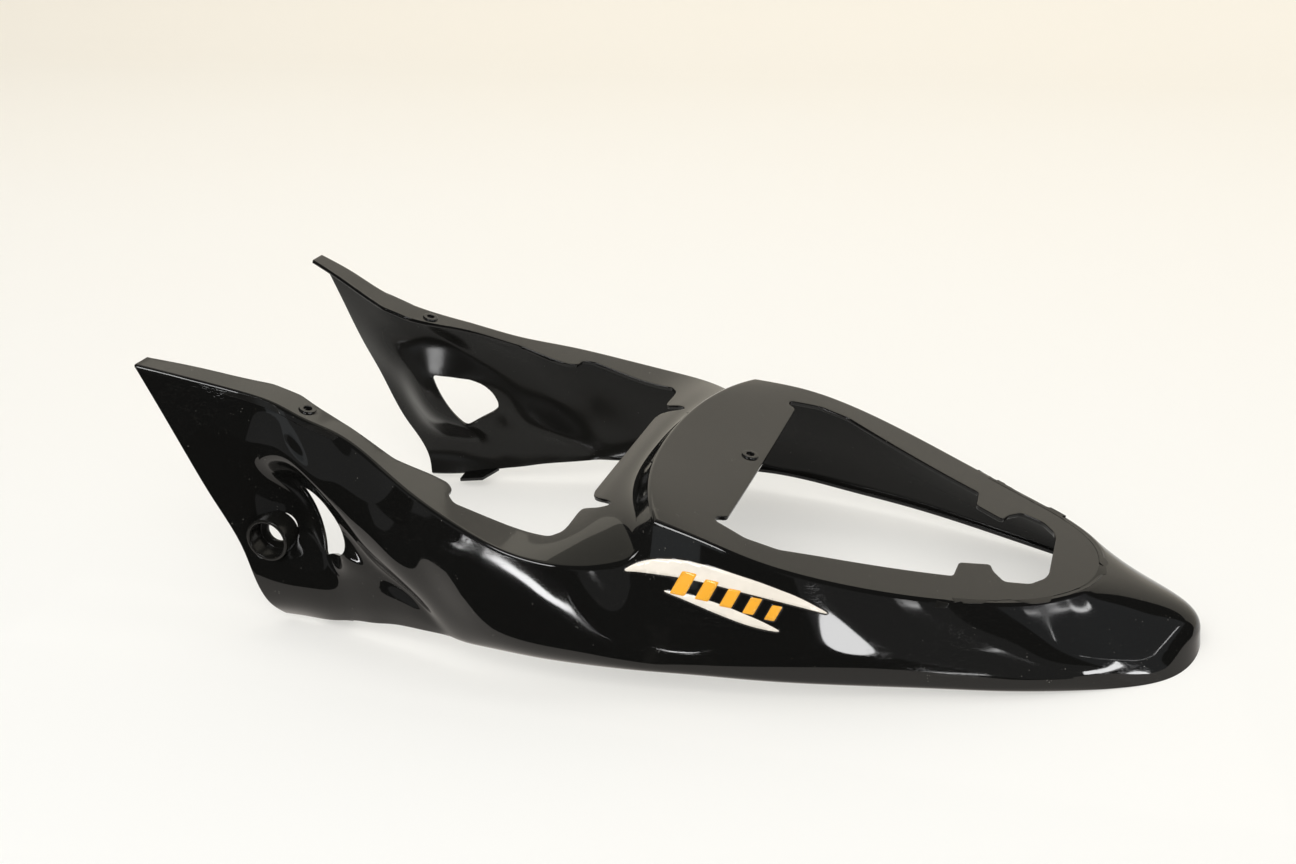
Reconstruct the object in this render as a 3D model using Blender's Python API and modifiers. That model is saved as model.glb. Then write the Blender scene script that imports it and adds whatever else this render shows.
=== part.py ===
"""Motorcycle tail fairing, moulded in one piece.

Two front wings with a flange along the top carry the seat opening. Behind them lie the flat shelf under
the rider's seat, a concave riser and the raised deck under the rear seat, with its own window. The side
skin runs round the tail as one lofted surface with a turned-in bottom lip. Each wing has an air scoop
with an opening, and the left one has the bush for the seat lock.

Sizes are in millimetres. x runs back from the wing tips, y from the middle plane to the right of the
motorcycle, and z up from the floor. The finished part is moved along x, to be centred on its length.
"""

import math

import bmesh
import bpy
from mathutils import Matrix, Vector
from mathutils.bvhtree import BVHTree

MM = 0.001

# The moulding
WALL = 3.0
CREASE_RADIUS = 2.5
SPACING = 16.0
TOP_COLUMNS = 6

# The sections of the loft, from the wings' front edges to the tail. Each line holds the crease round the
# top, the shoulder, the ridge where the side turns under, and the bottom lip, as (x, half width, z).
SECTIONS = (
    ((0, 131, 187.5), (16, 130, 152.5), (33, 129, 114.5), (85, 122, 3.5)),
    ((32, 122, 177.5), (45, 119, 147.5), (58, 118, 116.5), (105, 124, 4.5)),
    ((60, 112.5, 167.5), (69, 112.5, 144.5), (77, 117, 122.5), (125, 128, 6.5)),
    ((88, 108, 158.5), (94, 115, 142.5), (101, 122, 125.5), (145, 131, 10.5)),
    ((110, 111, 151), (117, 120, 131.5), (125, 128, 110.5), (160, 134, 12.5)),
    ((139, 115, 143), (146, 130, 118.5), (154, 137.5, 91.5), (178, 137, 15.5)),
    ((172, 127, 130.5), (179, 142, 100.5), (188, 148, 65.5), (200, 142, 17.5)),
    ((210, 146, 117.5), (216, 155, 84.5), (223, 154, 48.5), (228, 148, 19)),
    ((244, 158, 106.5), (247, 163.5, 74), (250, 162.5, 42), (253, 152, 18.5)),
    ((285, 166, 95.5), (287, 168.3, 68), (289, 168, 40), (290, 155, 18.5)),
    ((322, 161, 89.5), (324, 165.5, 61.5), (325, 167, 36), (326, 156, 18.5)),
    ((340, 151, 87.5), (342, 160.5, 59.5), (343, 165, 32), (344, 155.5, 18.5)),
    ((354, 139, 91.5), (355, 154.5, 62.5), (357, 162.5, 29), (358, 155, 18.5)),
    ((364, 126, 110.5), (366, 149, 68.5), (368, 160, 27), (369, 154.5, 18.5)),
    ((400, 133, 103), (401, 147.5, 62.5), (402, 155.5, 25), (403, 149, 17.5)),
    ((427, 135, 95), (429, 145, 58), (430, 150.5, 23), (431, 143, 15.5)),
    ((478, 125, 79.5), (481, 134, 50), (483, 138, 19.5), (484, 130, 12.5)),
    ((530, 104.5, 65), (536, 114, 41.5), (540, 119.5, 15), (542, 112.5, 8)),
    ((575, 81.5, 55), (588, 92.5, 33), (596, 99.5, 10.5), (600, 93, 3)),
    ((605, 60.5, 50.5), (622, 69, 31), (638, 77, 13), (647, 74.5, 0.5)),
    ((624, 38, 48.5), (645, 43, 30), (665, 52, 12.5), (679, 54, 0)),
    ((634, 0, 47), (671, 0, 31), (697, 0, 11.5), (698, 0, 0)),
)
# The sections that hold the deck's front corner and the foot of the riser.
DECK_CORNER = 13
RISER_FOOT = 10
# Inside each scoop, on the first sections: the top of its opening, the sill below it, the ledge and
# the skirt, as (half width, z).
SCOOPS = (
    ((129, 92.5), (128, 53), (132.5, 32.5), (131.5, 16.5)),
    ((118.5, 95.5), (123.5, 53), (133, 33.5), (132, 17.5)),
    ((108.5, 100.5), (111.5, 60.5), (132.5, 36), (133, 19.5)),
    ((112, 97.5), (121, 56.5), (131.5, 39.5), (134, 22.5)),
    ((124, 91.5), (134, 60.5), (134, 44.5), (136, 26.5)),
    ((137, 72.5), (134.5, 53.5), (135.5, 42.5), (138.5, 28.5)),
    ((142.5, 50.5), (139, 42.5), (141, 36.5), (143, 27.5)),
)

# The top between the creases: where each line across meets the middle plane, as (x, z), from the riser's
# foot to the deck's front edge, and how round those lines are in plan.
RISER_MIDDLE = ((311, 98.5), (320, 100), (328, 105), (336, 116))
DECK_MIDDLE = ((384, 105.5), (420, 96.5))
ARC_POWER = 2.2
CROWN_POWER = 4.0

# The seat opening. The flange's width along the wing, as (x, width), then the shelf's front edge.
FLANGE = ((0, 16), (76, 25), (97, 25.5), (134, 17), (179, 19), (205, 32.5), (217, 36))
SHELF_HALF_GAP = 133.0
SHELF_EDGE_X = 302.0
HOOK_SLOT = ((303, 92), (314, 91), (319, 87.5), (320, 84), (317, 81), (309, 78), (304, 74))

# The deck's window. The deck's border beside it, as (x, width), its ends, its corner reliefs and the
# tabs that reach in from its sides.
WINDOW_BORDER = ((400, 27), (419, 23.5), (440, 24), (462, 30), (505, 34.5), (543, 34.5))
WINDOW_FRONT_X = 403.0
WINDOW_REAR_X = 600.0
RELIEF_DEPTH = 6.0
RELIEF_WIDTH = 12.0
TAB_FRONT_X = 543.0
TAB_LENGTH = 20.0
TAB_REACH = 20.0
WINDOW_REAR = ((566, 42), (574, 51.5), (590, 45.5), (598, 34), (600, 26))

# Screw bosses on the flanges and on the deck.
BOSS_OUTER = 12.0
BOSS_BORE = 5.8
BOSS_RISE = 1.2
FLANGE_BOSS_X = 109.0
FLANGE_BOSS_INSET = 13.0
DECK_BOSS_X = 393.0

# The opening in each scoop, seen from the side, as (x, z).
SCOOP_OPENING = (
    (101, 98.5), (114, 96), (127, 92), (136, 86.5), (142, 80), (145.5, 72.5), (145.5, 66), (141, 61.5),
    (132, 58), (122, 53),
)
SCOOP_CORNER = 3.0

# The bush for the seat lock, in the left wing. Its rim stands clear of the skin all round.
LOCK_X = 81.5
LOCK_Z = 63.0
LOCK_RIM_Y = 127.8
LOCK_OUTER = 31.6
LOCK_COUNTERBORE = 26.5
LOCK_BORE = 15.6
LOCK_DEPTH = 15.0

# The flat tab under each wing, turned in from the lip. Its underside rises with the lip.
WING_TAB_ROOT = (114.0, 143.0)
WING_TAB_TIP = (115.5, 136.0)
WING_TAB_REACH = 14.5
WING_TAB_WALL = 3.0
WING_TAB_START = 4.6
WING_TAB_SLOPE = 0.15

GLOSS_BLACK = (0.012, 0.012, 0.013, 1.0)
ARC_STEPS = 24


def collection(name):
    """A new collection in the scene."""
    made = bpy.data.collections.new(name)
    bpy.context.scene.collection.children.link(made)
    return made


def table(pairs, x):
    """Read a size along the part from its (x, size) pairs, with straight runs between them."""
    if x <= pairs[0][0]:
        return pairs[0][1]
    for (x0, v0), (x1, v1) in zip(pairs, pairs[1:]):
        if x <= x1:
            return v0 + (v1 - v0) * (x - x0) / (x1 - x0)
    return pairs[-1][1]


def slopes(points, knots, corner=None):
    """Tangents of a smooth curve through the points: one before and one after each of them."""
    last = len(points) - 1
    runs = [(points[i + 1] - points[i]) / (knots[i + 1] - knots[i]) for i in range(last)]
    found = []
    for i in range(last + 1):
        before = runs[max(i - 1, 0)]
        after = runs[min(i, last - 1)]
        if i == corner:
            found.append((before, after))
            continue
        a = knots[max(i, 1)] - knots[max(i - 1, 0)]
        b = knots[min(i + 1, last)] - knots[min(i, last - 1)]
        middle = (before * b + after * a) / (a + b)
        found.append((middle, middle))
    return found


def hermite(p0, m0, p1, m1, span, t):
    """Cubic between two points with their tangents."""
    a = (1 + 2 * t) * (1 - t) ** 2
    b = t * t * (3 - 2 * t)
    return p0 * a + m0 * (span * t * (1 - t) ** 2) + p1 * b - m1 * (span * t * t * (1 - t))


def smooth(points, counts, corner=None, meets_middle=False):
    """Points along a smooth curve: counts[i] steps in the stretch after point i.

    A curve that meets the middle plane arrives square to it, as its mirror image goes on from there.
    """
    knots = [0.0]
    for p, q in zip(points, points[1:]):
        knots.append(knots[-1] + max((q - p).length, 1e-3))
    tangents = slopes(points, knots, corner)
    if meets_middle:
        across = Vector((0.0, -tangents[-1][0].length, 0.0))
        tangents[-1] = (across, across)
    found = []
    for i, count in enumerate(counts):
        span = knots[i + 1] - knots[i]
        for step in range(count):
            found.append(
                hermite(points[i], tangents[i][1], points[i + 1], tangents[i + 1][0], span, step / count)
            )
    found.append(points[-1].copy())
    return found


def turned_under(ridge, lip, angle):
    """A point on the quarter turn from the ridge in to the lip, or on a straight run out to it."""
    down = 1 - math.sin(angle)
    inward = math.cos(angle) if ridge.y > lip.y else down
    return Vector(
        (lip.x + (ridge.x - lip.x) * down, lip.y + (ridge.y - lip.y) * inward,
         lip.z + (ridge.z - lip.z) * down)
    )


def section_rows(number):
    """The guide points down the side at one section, from the crease to the lip."""
    crease, shoulder, ridge, lip = (Vector(p) for p in SECTIONS[number])
    fall = crease.z - lip.z

    def on_section(half_width, z):
        share = (crease.z - z) / fall
        return Vector((crease.x + (lip.x - crease.x) * share, half_width, z))

    if number < len(SCOOPS):
        middle = [on_section(*pair) for pair in SCOOPS[number]]
    else:
        middle = [turned_under(ridge, lip, share * math.pi / 2) for share in TURN_SHARES]
    return [crease, shoulder, ridge, *middle, lip]


TURN_SHARES = (0.3, 0.52, 0.72, 0.88)
ROW_STEPS = (3, 2, 2, 2, 2, 1, 1)


def station_counts():
    """How many steps each stretch between two sections takes."""
    counts = []
    for a, b in zip(SECTIONS, SECTIONS[1:]):
        longest = max((Vector(q) - Vector(p)).length for p, q in zip(a, b))
        counts.append(max(1, round(longest / SPACING)))
    return counts


def side_grid():
    """Columns of points down the side skin, from the front edge to the middle of the tail."""
    counts = station_counts()
    rows = [section_rows(i) for i in range(len(SECTIONS))]
    guides = []
    for row in range(len(rows[0])):
        corner = DECK_CORNER if row == 0 else None
        guides.append(smooth([column[row] for column in rows], counts, corner, meets_middle=True))
    columns = [smooth([guide[i] for guide in guides], ROW_STEPS) for i in range(len(guides[0]))]
    return columns, counts


def middle_line(counts):
    """Where each line across the top meets the middle plane, one (x, z) for each column."""
    crease = [Vector(section[0]) for section in SECTIONS]
    points = [Vector((p.x, 0.0, p.z)) for p in crease]
    for i, (x, z) in enumerate(RISER_MIDDLE):
        points[RISER_FOOT + i] = Vector((x, 0.0, z))
    for i, (x, z) in enumerate(DECK_MIDDLE):
        points[DECK_CORNER + 1 + i] = Vector((x, 0.0, z))
    return smooth(points, counts, DECK_CORNER)


def top_columns(side, counts):
    """Lines of points across the top, from the crease to the middle plane."""
    middles = middle_line(counts)
    lines = []
    for column, middle in zip(side, middles):
        crease = column[0]
        line = [crease]
        for step in range(1, TOP_COLUMNS + 1):
            share = 1 - step / TOP_COLUMNS
            x = middle.x + (crease.x - middle.x) * share**ARC_POWER
            z = middle.z + (crease.z - middle.z) * share**CROWN_POWER
            line.append(Vector((x, crease.y * share, z)))
        lines.append(line)
    return lines


def half_shell():
    """The right half of the outer surface as a mesh: the side skin and the top, joined at the crease."""
    side, counts = side_grid()
    top = top_columns(side, counts)
    mesh = bmesh.new()
    weight = mesh.edges.layers.float.new("bevel_weight_edge")

    def vertex(point):
        return mesh.verts.new(point * MM)

    side_verts = [[vertex(p) for p in column] for column in side]
    top_verts = [[down[0]] + [vertex(p) for p in line[1:]] for down, line in zip(side_verts, top)]
    for a, b in zip(side_verts, side_verts[1:]):
        for i in range(len(a) - 1):
            mesh.faces.new((a[i], a[i + 1], b[i + 1], b[i]))
    for a, b in zip(top_verts, top_verts[1:]):
        for i in range(len(a) - 1):
            mesh.faces.new((a[i], b[i], b[i + 1], a[i + 1]))
    front = top_verts[sum(counts[:DECK_CORNER])]
    for line in ([column[0] for column in side_verts], front):
        for a, b in zip(line, line[1:]):
            mesh.edges.get((a, b))[weight] = 1.0
    bmesh.ops.remove_doubles(mesh, verts=mesh.verts, dist=1e-6)
    bmesh.ops.recalc_face_normals(mesh, faces=mesh.faces)
    return mesh


def mesh_object(name, mesh, group):
    """An object of a finished bmesh."""
    data = bpy.data.meshes.new(name)
    mesh.to_mesh(data)
    mesh.free()
    made = bpy.data.objects.new(name, data)
    group.objects.link(made)
    return made


def cutter(made):
    """Hide a helper object from renders."""
    made.hide_render = True
    made.display_type = "WIRE"
    return made


def boolean(target, other, operation):
    """Add or cut a helper's shape."""
    modifier = target.modifiers.new(f"{operation.lower()}_{other.name}", "BOOLEAN")
    modifier.operation = operation
    modifier.object = other


def rounded(outline, radius):
    """The outline with its corners rounded."""
    found = []
    count = len(outline)
    for i, corner in enumerate(outline):
        before = Vector(outline[i - 1]) - Vector(corner)
        after = Vector(outline[(i + 1) % count]) - Vector(corner)
        reach = min(radius, before.length / 2.2, after.length / 2.2)
        start = Vector(corner) + before.normalized() * reach
        end = Vector(corner) + after.normalized() * reach
        for t in (0.0, 0.35, 0.65, 1.0):
            point = start * (1 - t) ** 2 + Vector(corner) * 2 * t * (1 - t) + end * t * t
            found.append((point.x, point.y))
    return found


def prism(name, outline, axis, low, high, group):
    """A cutter: a flat outline pushed along Z, or along Y when it is seen from the side."""
    mesh = bmesh.new()
    ends = []
    for level in (low, high):
        if axis == "Z":
            ends.append([mesh.verts.new((x * MM, y * MM, level * MM)) for x, y in outline])
        else:
            ends.append([mesh.verts.new((x * MM, level * MM, z * MM)) for x, z in outline])
    mesh.faces.new(ends[0])
    mesh.faces.new(list(reversed(ends[1])))
    count = len(outline)
    for i in range(count):
        j = (i + 1) % count
        mesh.faces.new((ends[0][i], ends[1][i], ends[1][j], ends[0][j]))
    bmesh.ops.recalc_face_normals(mesh, faces=mesh.faces)
    return cutter(mesh_object(name, mesh, group))


def box(name, low, high, group):
    """A plain box between two corners, as a helper."""
    mesh = bmesh.new()
    bmesh.ops.create_cube(mesh, size=1.0)
    middle = (Vector(low) + Vector(high)) / 2
    size = Vector(high) - Vector(low)
    for vertex in mesh.verts:
        vertex.co = Vector(middle[i] + vertex.co[i] * size[i] for i in range(3)) * MM
    return cutter(mesh_object(name, mesh, group))


def cylinder(name, radius, start, end, group):
    """A plain cylinder between two points, as a helper."""
    start = Vector(start)
    along = Vector(end) - start
    mesh = bmesh.new()
    turn = along.to_track_quat("Z", "Y").to_matrix().to_4x4()
    bmesh.ops.create_cone(
        mesh,
        cap_ends=True,
        segments=ARC_STEPS,
        radius1=radius * MM,
        radius2=radius * MM,
        depth=along.length * MM,
        matrix=Matrix.Translation((start + along / 2) * MM) @ turn,
    )
    return cutter(mesh_object(name, mesh, group))


def mirrored(half):
    """A closed outline from the right half of it, which runs from front to back."""
    return list(half) + [(x, -y) for x, y in reversed(half) if y > 0]


def crease_at(columns, x):
    """The point of the crease at this x, ahead of the riser or on the deck."""
    creases = [column[0] for column in columns]
    for a, b in zip(creases, creases[1:]):
        if a.x <= x <= b.x and b.x > a.x:
            return a + (b - a) * ((x - a.x) / (b.x - a.x))
    return creases[-1]


def seat_outline(columns):
    """The seat opening's right half: along the flange, round the notch and over to the middle."""
    half = []
    for x, width in FLANGE:
        half.append((x, crease_at(columns, x).y - width))
    front = (-20.0, half[0][1])
    notch_x = FLANGE[-1][0]
    notch = [(notch_x + 6, half[-1][1] + 6), (notch_x + 6, SHELF_HALF_GAP - 7),
             (notch_x + 13, SHELF_HALF_GAP)]
    corner = [(SHELF_EDGE_X - 7, SHELF_HALF_GAP), (SHELF_EDGE_X - 1, SHELF_HALF_GAP - 8),
              (SHELF_EDGE_X, SHELF_HALF_GAP - 16), (SHELF_EDGE_X, 98.0)]
    edge = [(SHELF_EDGE_X, 66.0)]
    slot = list(HOOK_SLOT)
    return [front] + half + notch + corner + slot + edge


def window_outline(columns):
    """The deck window's right half, from its front edge to its rear one."""
    half = []
    relief = crease_at(columns, WINDOW_FRONT_X).y - WINDOW_BORDER[0][1]
    half.append((WINDOW_FRONT_X, relief - RELIEF_WIDTH))
    half.append((WINDOW_FRONT_X - RELIEF_DEPTH, relief - RELIEF_WIDTH + 3))
    half.append((WINDOW_FRONT_X - RELIEF_DEPTH, relief - 3))
    for x, width in WINDOW_BORDER[1:]:
        half.append((x, crease_at(columns, x).y - width))
    tab_root = half[-1][1]
    half.append((TAB_FRONT_X + 1, tab_root - TAB_REACH))
    half.append((TAB_FRONT_X + TAB_LENGTH, tab_root - TAB_REACH * 1.5))
    half.extend(WINDOW_REAR)
    return half


def add_bosses(shell, surface, columns, helpers):
    """The three screw bosses, square to the skin under them, each with its bore."""
    flange_y = crease_at(columns, FLANGE_BOSS_X).y - FLANGE_BOSS_INSET
    places = (
        ("left_boss", FLANGE_BOSS_X, flange_y, -1),
        ("right_boss", FLANGE_BOSS_X, flange_y, 1),
        ("deck_boss", DECK_BOSS_X, 0.01, 1),
    )
    for name, x, y, side in places:
        foot, up, _, _ = surface.ray_cast(Vector((x, y, 400)) * MM, Vector((0, 0, -1)))
        foot = Vector((foot.x, foot.y * side, foot.z)) / MM
        if up.z < 0:
            up = -up
        up = Vector((up.x, up.y * side if abs(y) > 1 else 0.0, up.z)).normalized()
        ring = cylinder(
            name, BOSS_OUTER / 2, foot - up * WALL * 0.6, foot + up * BOSS_RISE, helpers
        )
        boolean(shell, ring, "UNION")
        bore = cylinder(name + "_bore", BOSS_BORE / 2, foot - up * 12, foot + up * 12, helpers)
        boolean(shell, bore, "DIFFERENCE")


def add_lock_bush(shell, helpers):
    """The bush for the seat lock in the left wing: a tube with a counterbore and a bore."""
    floor = LOCK_RIM_Y - LOCK_DEPTH
    bush = cylinder(
        "lock_bush",
        LOCK_OUTER / 2,
        (LOCK_X, -(floor - WALL), LOCK_Z),
        (LOCK_X, -LOCK_RIM_Y, LOCK_Z),
        helpers,
    )
    boolean(shell, bush, "UNION")
    counterbore = cylinder(
        "lock_counterbore",
        LOCK_COUNTERBORE / 2,
        (LOCK_X, -floor, LOCK_Z),
        (LOCK_X, -LOCK_RIM_Y - 12, LOCK_Z),
        helpers,
    )
    boolean(shell, counterbore, "DIFFERENCE")
    bore = cylinder(
        "lock_bore",
        LOCK_BORE / 2,
        (LOCK_X, -floor + 12, LOCK_Z),
        (LOCK_X, -LOCK_RIM_Y - 12, LOCK_Z),
        helpers,
    )
    boolean(shell, bore, "DIFFERENCE")


def add_wing_tabs(shell, helpers):
    """The flat tab under each wing, turned in from the lip."""
    lip = [Vector(section[3]) for section in SECTIONS]
    widths = [(p.x, p.y) for p in lip]
    inner = table(widths, WING_TAB_ROOT[0]) - 1.5 - WING_TAB_REACH
    plan = [
        (WING_TAB_ROOT[0], table(widths, WING_TAB_ROOT[0]) - 1.2),
        (WING_TAB_ROOT[1], table(widths, WING_TAB_ROOT[1]) - 1.2),
        (WING_TAB_TIP[1], inner),
        (WING_TAB_TIP[0], inner),
    ]
    for name, side in (("left_tab", -1), ("right_tab", 1)):
        mesh = bmesh.new()
        verts = []
        for rise in (0.0, WING_TAB_WALL):
            for x, y in plan:
                z = WING_TAB_START + (x - WING_TAB_ROOT[0]) * WING_TAB_SLOPE + rise
                verts.append(mesh.verts.new((x * MM, side * y * MM, z * MM)))
        faces = [(0, 1, 2, 3), (7, 6, 5, 4)]
        faces += [(i, i + 4, (i + 1) % 4 + 4, (i + 1) % 4) for i in range(4)]
        for face in faces:
            mesh.faces.new([verts[i] for i in face])
        bmesh.ops.recalc_face_normals(mesh, faces=mesh.faces)
        boolean(shell, cutter(mesh_object(name, mesh, helpers)), "UNION")


def main():
    for old in list(bpy.data.objects):
        bpy.data.objects.remove(old, do_unlink=True)
    parts = collection("tail_fairing_parts")
    helpers = collection("helpers")
    helpers.hide_render = True

    columns, _ = side_grid()
    half = half_shell()
    surface = BVHTree.FromBMesh(half)
    shell = mesh_object("tail_fairing", half, parts)
    shell.data.shade_smooth()
    mirror = shell.modifiers.new("other_half", "MIRROR")
    mirror.use_axis = (False, True, False)
    mirror.merge_threshold = 0.0001
    edge = shell.modifiers.new("crease", "BEVEL")
    edge.limit_method = "WEIGHT"
    edge.width = CREASE_RADIUS * MM
    edge.segments = 2
    wall = shell.modifiers.new("wall", "SOLIDIFY")
    wall.thickness = WALL * MM
    wall.offset = -1
    wall.use_even_offset = True
    shell.modifiers.new("flat_facets", "TRIANGULATE")

    seat = rounded(mirrored(seat_outline(columns)), 4.0)
    boolean(shell, prism("seat_opening", seat, "Z", 60, 240, helpers), "DIFFERENCE")
    window = rounded(mirrored(window_outline(columns)), 5.0)
    boolean(shell, prism("deck_window", window, "Z", 20, 140, helpers), "DIFFERENCE")
    scoop = rounded(SCOOP_OPENING, SCOOP_CORNER)
    boolean(shell, prism("scoop_openings", scoop, "Y", -190, 190, helpers), "DIFFERENCE")
    trim = box("floor_trim", (-50, -250, -40), (800, 250, 0), helpers)
    boolean(shell, trim, "DIFFERENCE")
    add_bosses(shell, surface, columns, helpers)
    add_lock_bush(shell, helpers)
    add_wing_tabs(shell, helpers)

    reach = [point.x for column in columns for point in column]
    centre = Matrix.Translation((-(min(reach) + max(reach)) / 2 * MM, 0, 0))
    for made in (*parts.objects, *helpers.objects):
        made.data.transform(centre)

    material = bpy.data.materials.new("gloss_black_plastic")
    material.use_nodes = True
    finish = material.node_tree.nodes["Principled BSDF"]
    finish.inputs["Base Color"].default_value = GLOSS_BLACK
    finish.inputs["Roughness"].default_value = 0.08
    shell.data.materials.append(material)


main()
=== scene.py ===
"""Looks of a one-piece motorcycle tail fairing in gloss black plastic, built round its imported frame.

Lengths are in millimetres in the tables and in metres on the objects. In the tables, x runs back from the
wing tips, y is the distance from the middle plane and z is the height above the floor.
"""

from __future__ import annotations

import logging
import math
from dataclasses import dataclass, field
from enum import Enum

import bmesh
import bpy
import numpy as np
from mathutils import Matrix, Vector
from mathutils.geometry import delaunay_2d_cdt


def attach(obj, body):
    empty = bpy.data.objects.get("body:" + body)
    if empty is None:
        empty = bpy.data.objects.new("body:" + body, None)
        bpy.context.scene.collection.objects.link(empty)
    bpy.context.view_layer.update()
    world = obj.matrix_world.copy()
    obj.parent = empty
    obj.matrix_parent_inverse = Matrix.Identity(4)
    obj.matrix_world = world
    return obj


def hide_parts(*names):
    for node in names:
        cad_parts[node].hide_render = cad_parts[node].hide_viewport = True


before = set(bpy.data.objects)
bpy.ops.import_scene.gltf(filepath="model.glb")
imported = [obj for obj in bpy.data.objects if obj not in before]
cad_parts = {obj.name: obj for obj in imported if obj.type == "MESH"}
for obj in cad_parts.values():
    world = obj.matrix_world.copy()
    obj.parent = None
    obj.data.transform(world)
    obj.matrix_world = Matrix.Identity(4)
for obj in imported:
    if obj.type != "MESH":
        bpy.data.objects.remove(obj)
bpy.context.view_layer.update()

LOG = logging.getLogger("tail_fairing")
MM = 0.001
CENTRE_X = 349.55
BUMP_DEPTH = 0.0002
MERGE_DISTANCE = 0.00001
KEYS_PER_METRE = 50000
PAST_MIDDLE = -6.0

Point = tuple[float, ...]
Outline = list[Point]


class Side(Enum):
    """The two sides of the fairing, with the sign of their y."""

    LEFT = -1
    RIGHT = 1


def linked(name: str, data: bpy.types.ID) -> bpy.types.Object:
    """Put an object with this data into the scene."""
    made = bpy.data.objects.new(name, data)
    bpy.context.scene.collection.objects.link(made)
    return made


def modify(piece: bpy.types.Object, name: str, kind: str, **values: object) -> None:
    """Add a modifier with these settings."""
    made = piece.modifiers.new(name, kind)
    for key, value in values.items():
        setattr(made, key, value)


def from_built(name: str, built: bmesh.types.BMesh) -> bpy.types.Object:
    """Turn a finished bmesh into a smooth object."""
    mesh = bpy.data.meshes.new(name)
    built.to_mesh(mesh)
    built.free()
    mesh.shade_smooth()
    return linked(name, mesh)


def spline_second(knots: np.ndarray, values: np.ndarray) -> np.ndarray:
    """Second derivatives of the natural cubic spline through the values.

    Args:
        knots: Increasing positions, one for each value.
        values: One row for each knot.

    Returns:
        The second derivative at each knot, zero at both ends.
    """
    count = len(knots)
    gaps = np.diff(knots)
    system = np.eye(count)
    right = np.zeros_like(values)
    for i in range(1, count - 1):
        system[i, i - 1 : i + 2] = gaps[i - 1], 2 * (gaps[i - 1] + gaps[i]), gaps[i]
        right[i] = 6 * ((values[i + 1] - values[i]) / gaps[i] - (values[i] - values[i - 1]) / gaps[i - 1])
    return np.linalg.solve(system, right)


def spline(knots: np.ndarray, values: np.ndarray, at: np.ndarray) -> np.ndarray:
    """Natural cubic spline through the values.

    Args:
        knots: Increasing positions, one for each value.
        values: One row for each knot.
        at: Positions to read.

    Returns:
        One row for each position in at.
    """
    second = spline_second(knots, values)
    i = np.clip(np.searchsorted(knots, at, side="right") - 1, 0, len(knots) - 2)
    gap = (knots[i + 1] - knots[i])[:, None]
    b = ((at - knots[i])[:, None]) / gap
    a = 1 - b
    bend = (a**3 - a) * second[i] + (b**3 - b) * second[i + 1]
    return a * values[i] + b * values[i + 1] + bend * gap**2 / 6


def lengths(points: np.ndarray) -> np.ndarray:
    """Distance along a row of points to each of them."""
    return np.concatenate([[0.0], np.cumsum(np.linalg.norm(np.diff(points, axis=0), axis=1))])


def rounded(outline: Outline, radius: float, steps: int = 6) -> np.ndarray:
    """Round the corners of a closed outline.

    Args:
        outline: Its corners.
        radius: How far from a corner the rounding starts.
        steps: Stretches in each rounded corner.

    Returns:
        The points of the rounded outline.
    """
    points = np.array(outline, float)
    found = []
    for i, corner in enumerate(points):
        before = points[i - 1] - corner
        after = points[(i + 1) % len(points)] - corner
        reach = min(radius, np.linalg.norm(before) / 2.1, np.linalg.norm(after) / 2.1)
        start = corner + before / np.linalg.norm(before) * reach
        end = corner + after / np.linalg.norm(after) * reach
        for t in np.linspace(0, 1, steps + 1):
            found.append(start * (1 - t) ** 2 + corner * 2 * t * (1 - t) + end * t * t)
    return np.array(found)


def refined(outline: np.ndarray, spacing: float) -> np.ndarray:
    """Split the long stretches of a closed outline, so that none is longer than the spacing."""
    found = []
    for a, b in zip(outline, np.roll(outline, -1, axis=0)):
        count = max(1, math.ceil(float(np.linalg.norm(b - a)) / spacing))
        found.extend(a + (b - a) * step / count for step in range(count))
    kept = [found[0]]
    for point in found[1:]:
        if np.linalg.norm(point - kept[-1]) > spacing * 0.12:
            kept.append(point)
    return np.array(kept)


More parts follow.
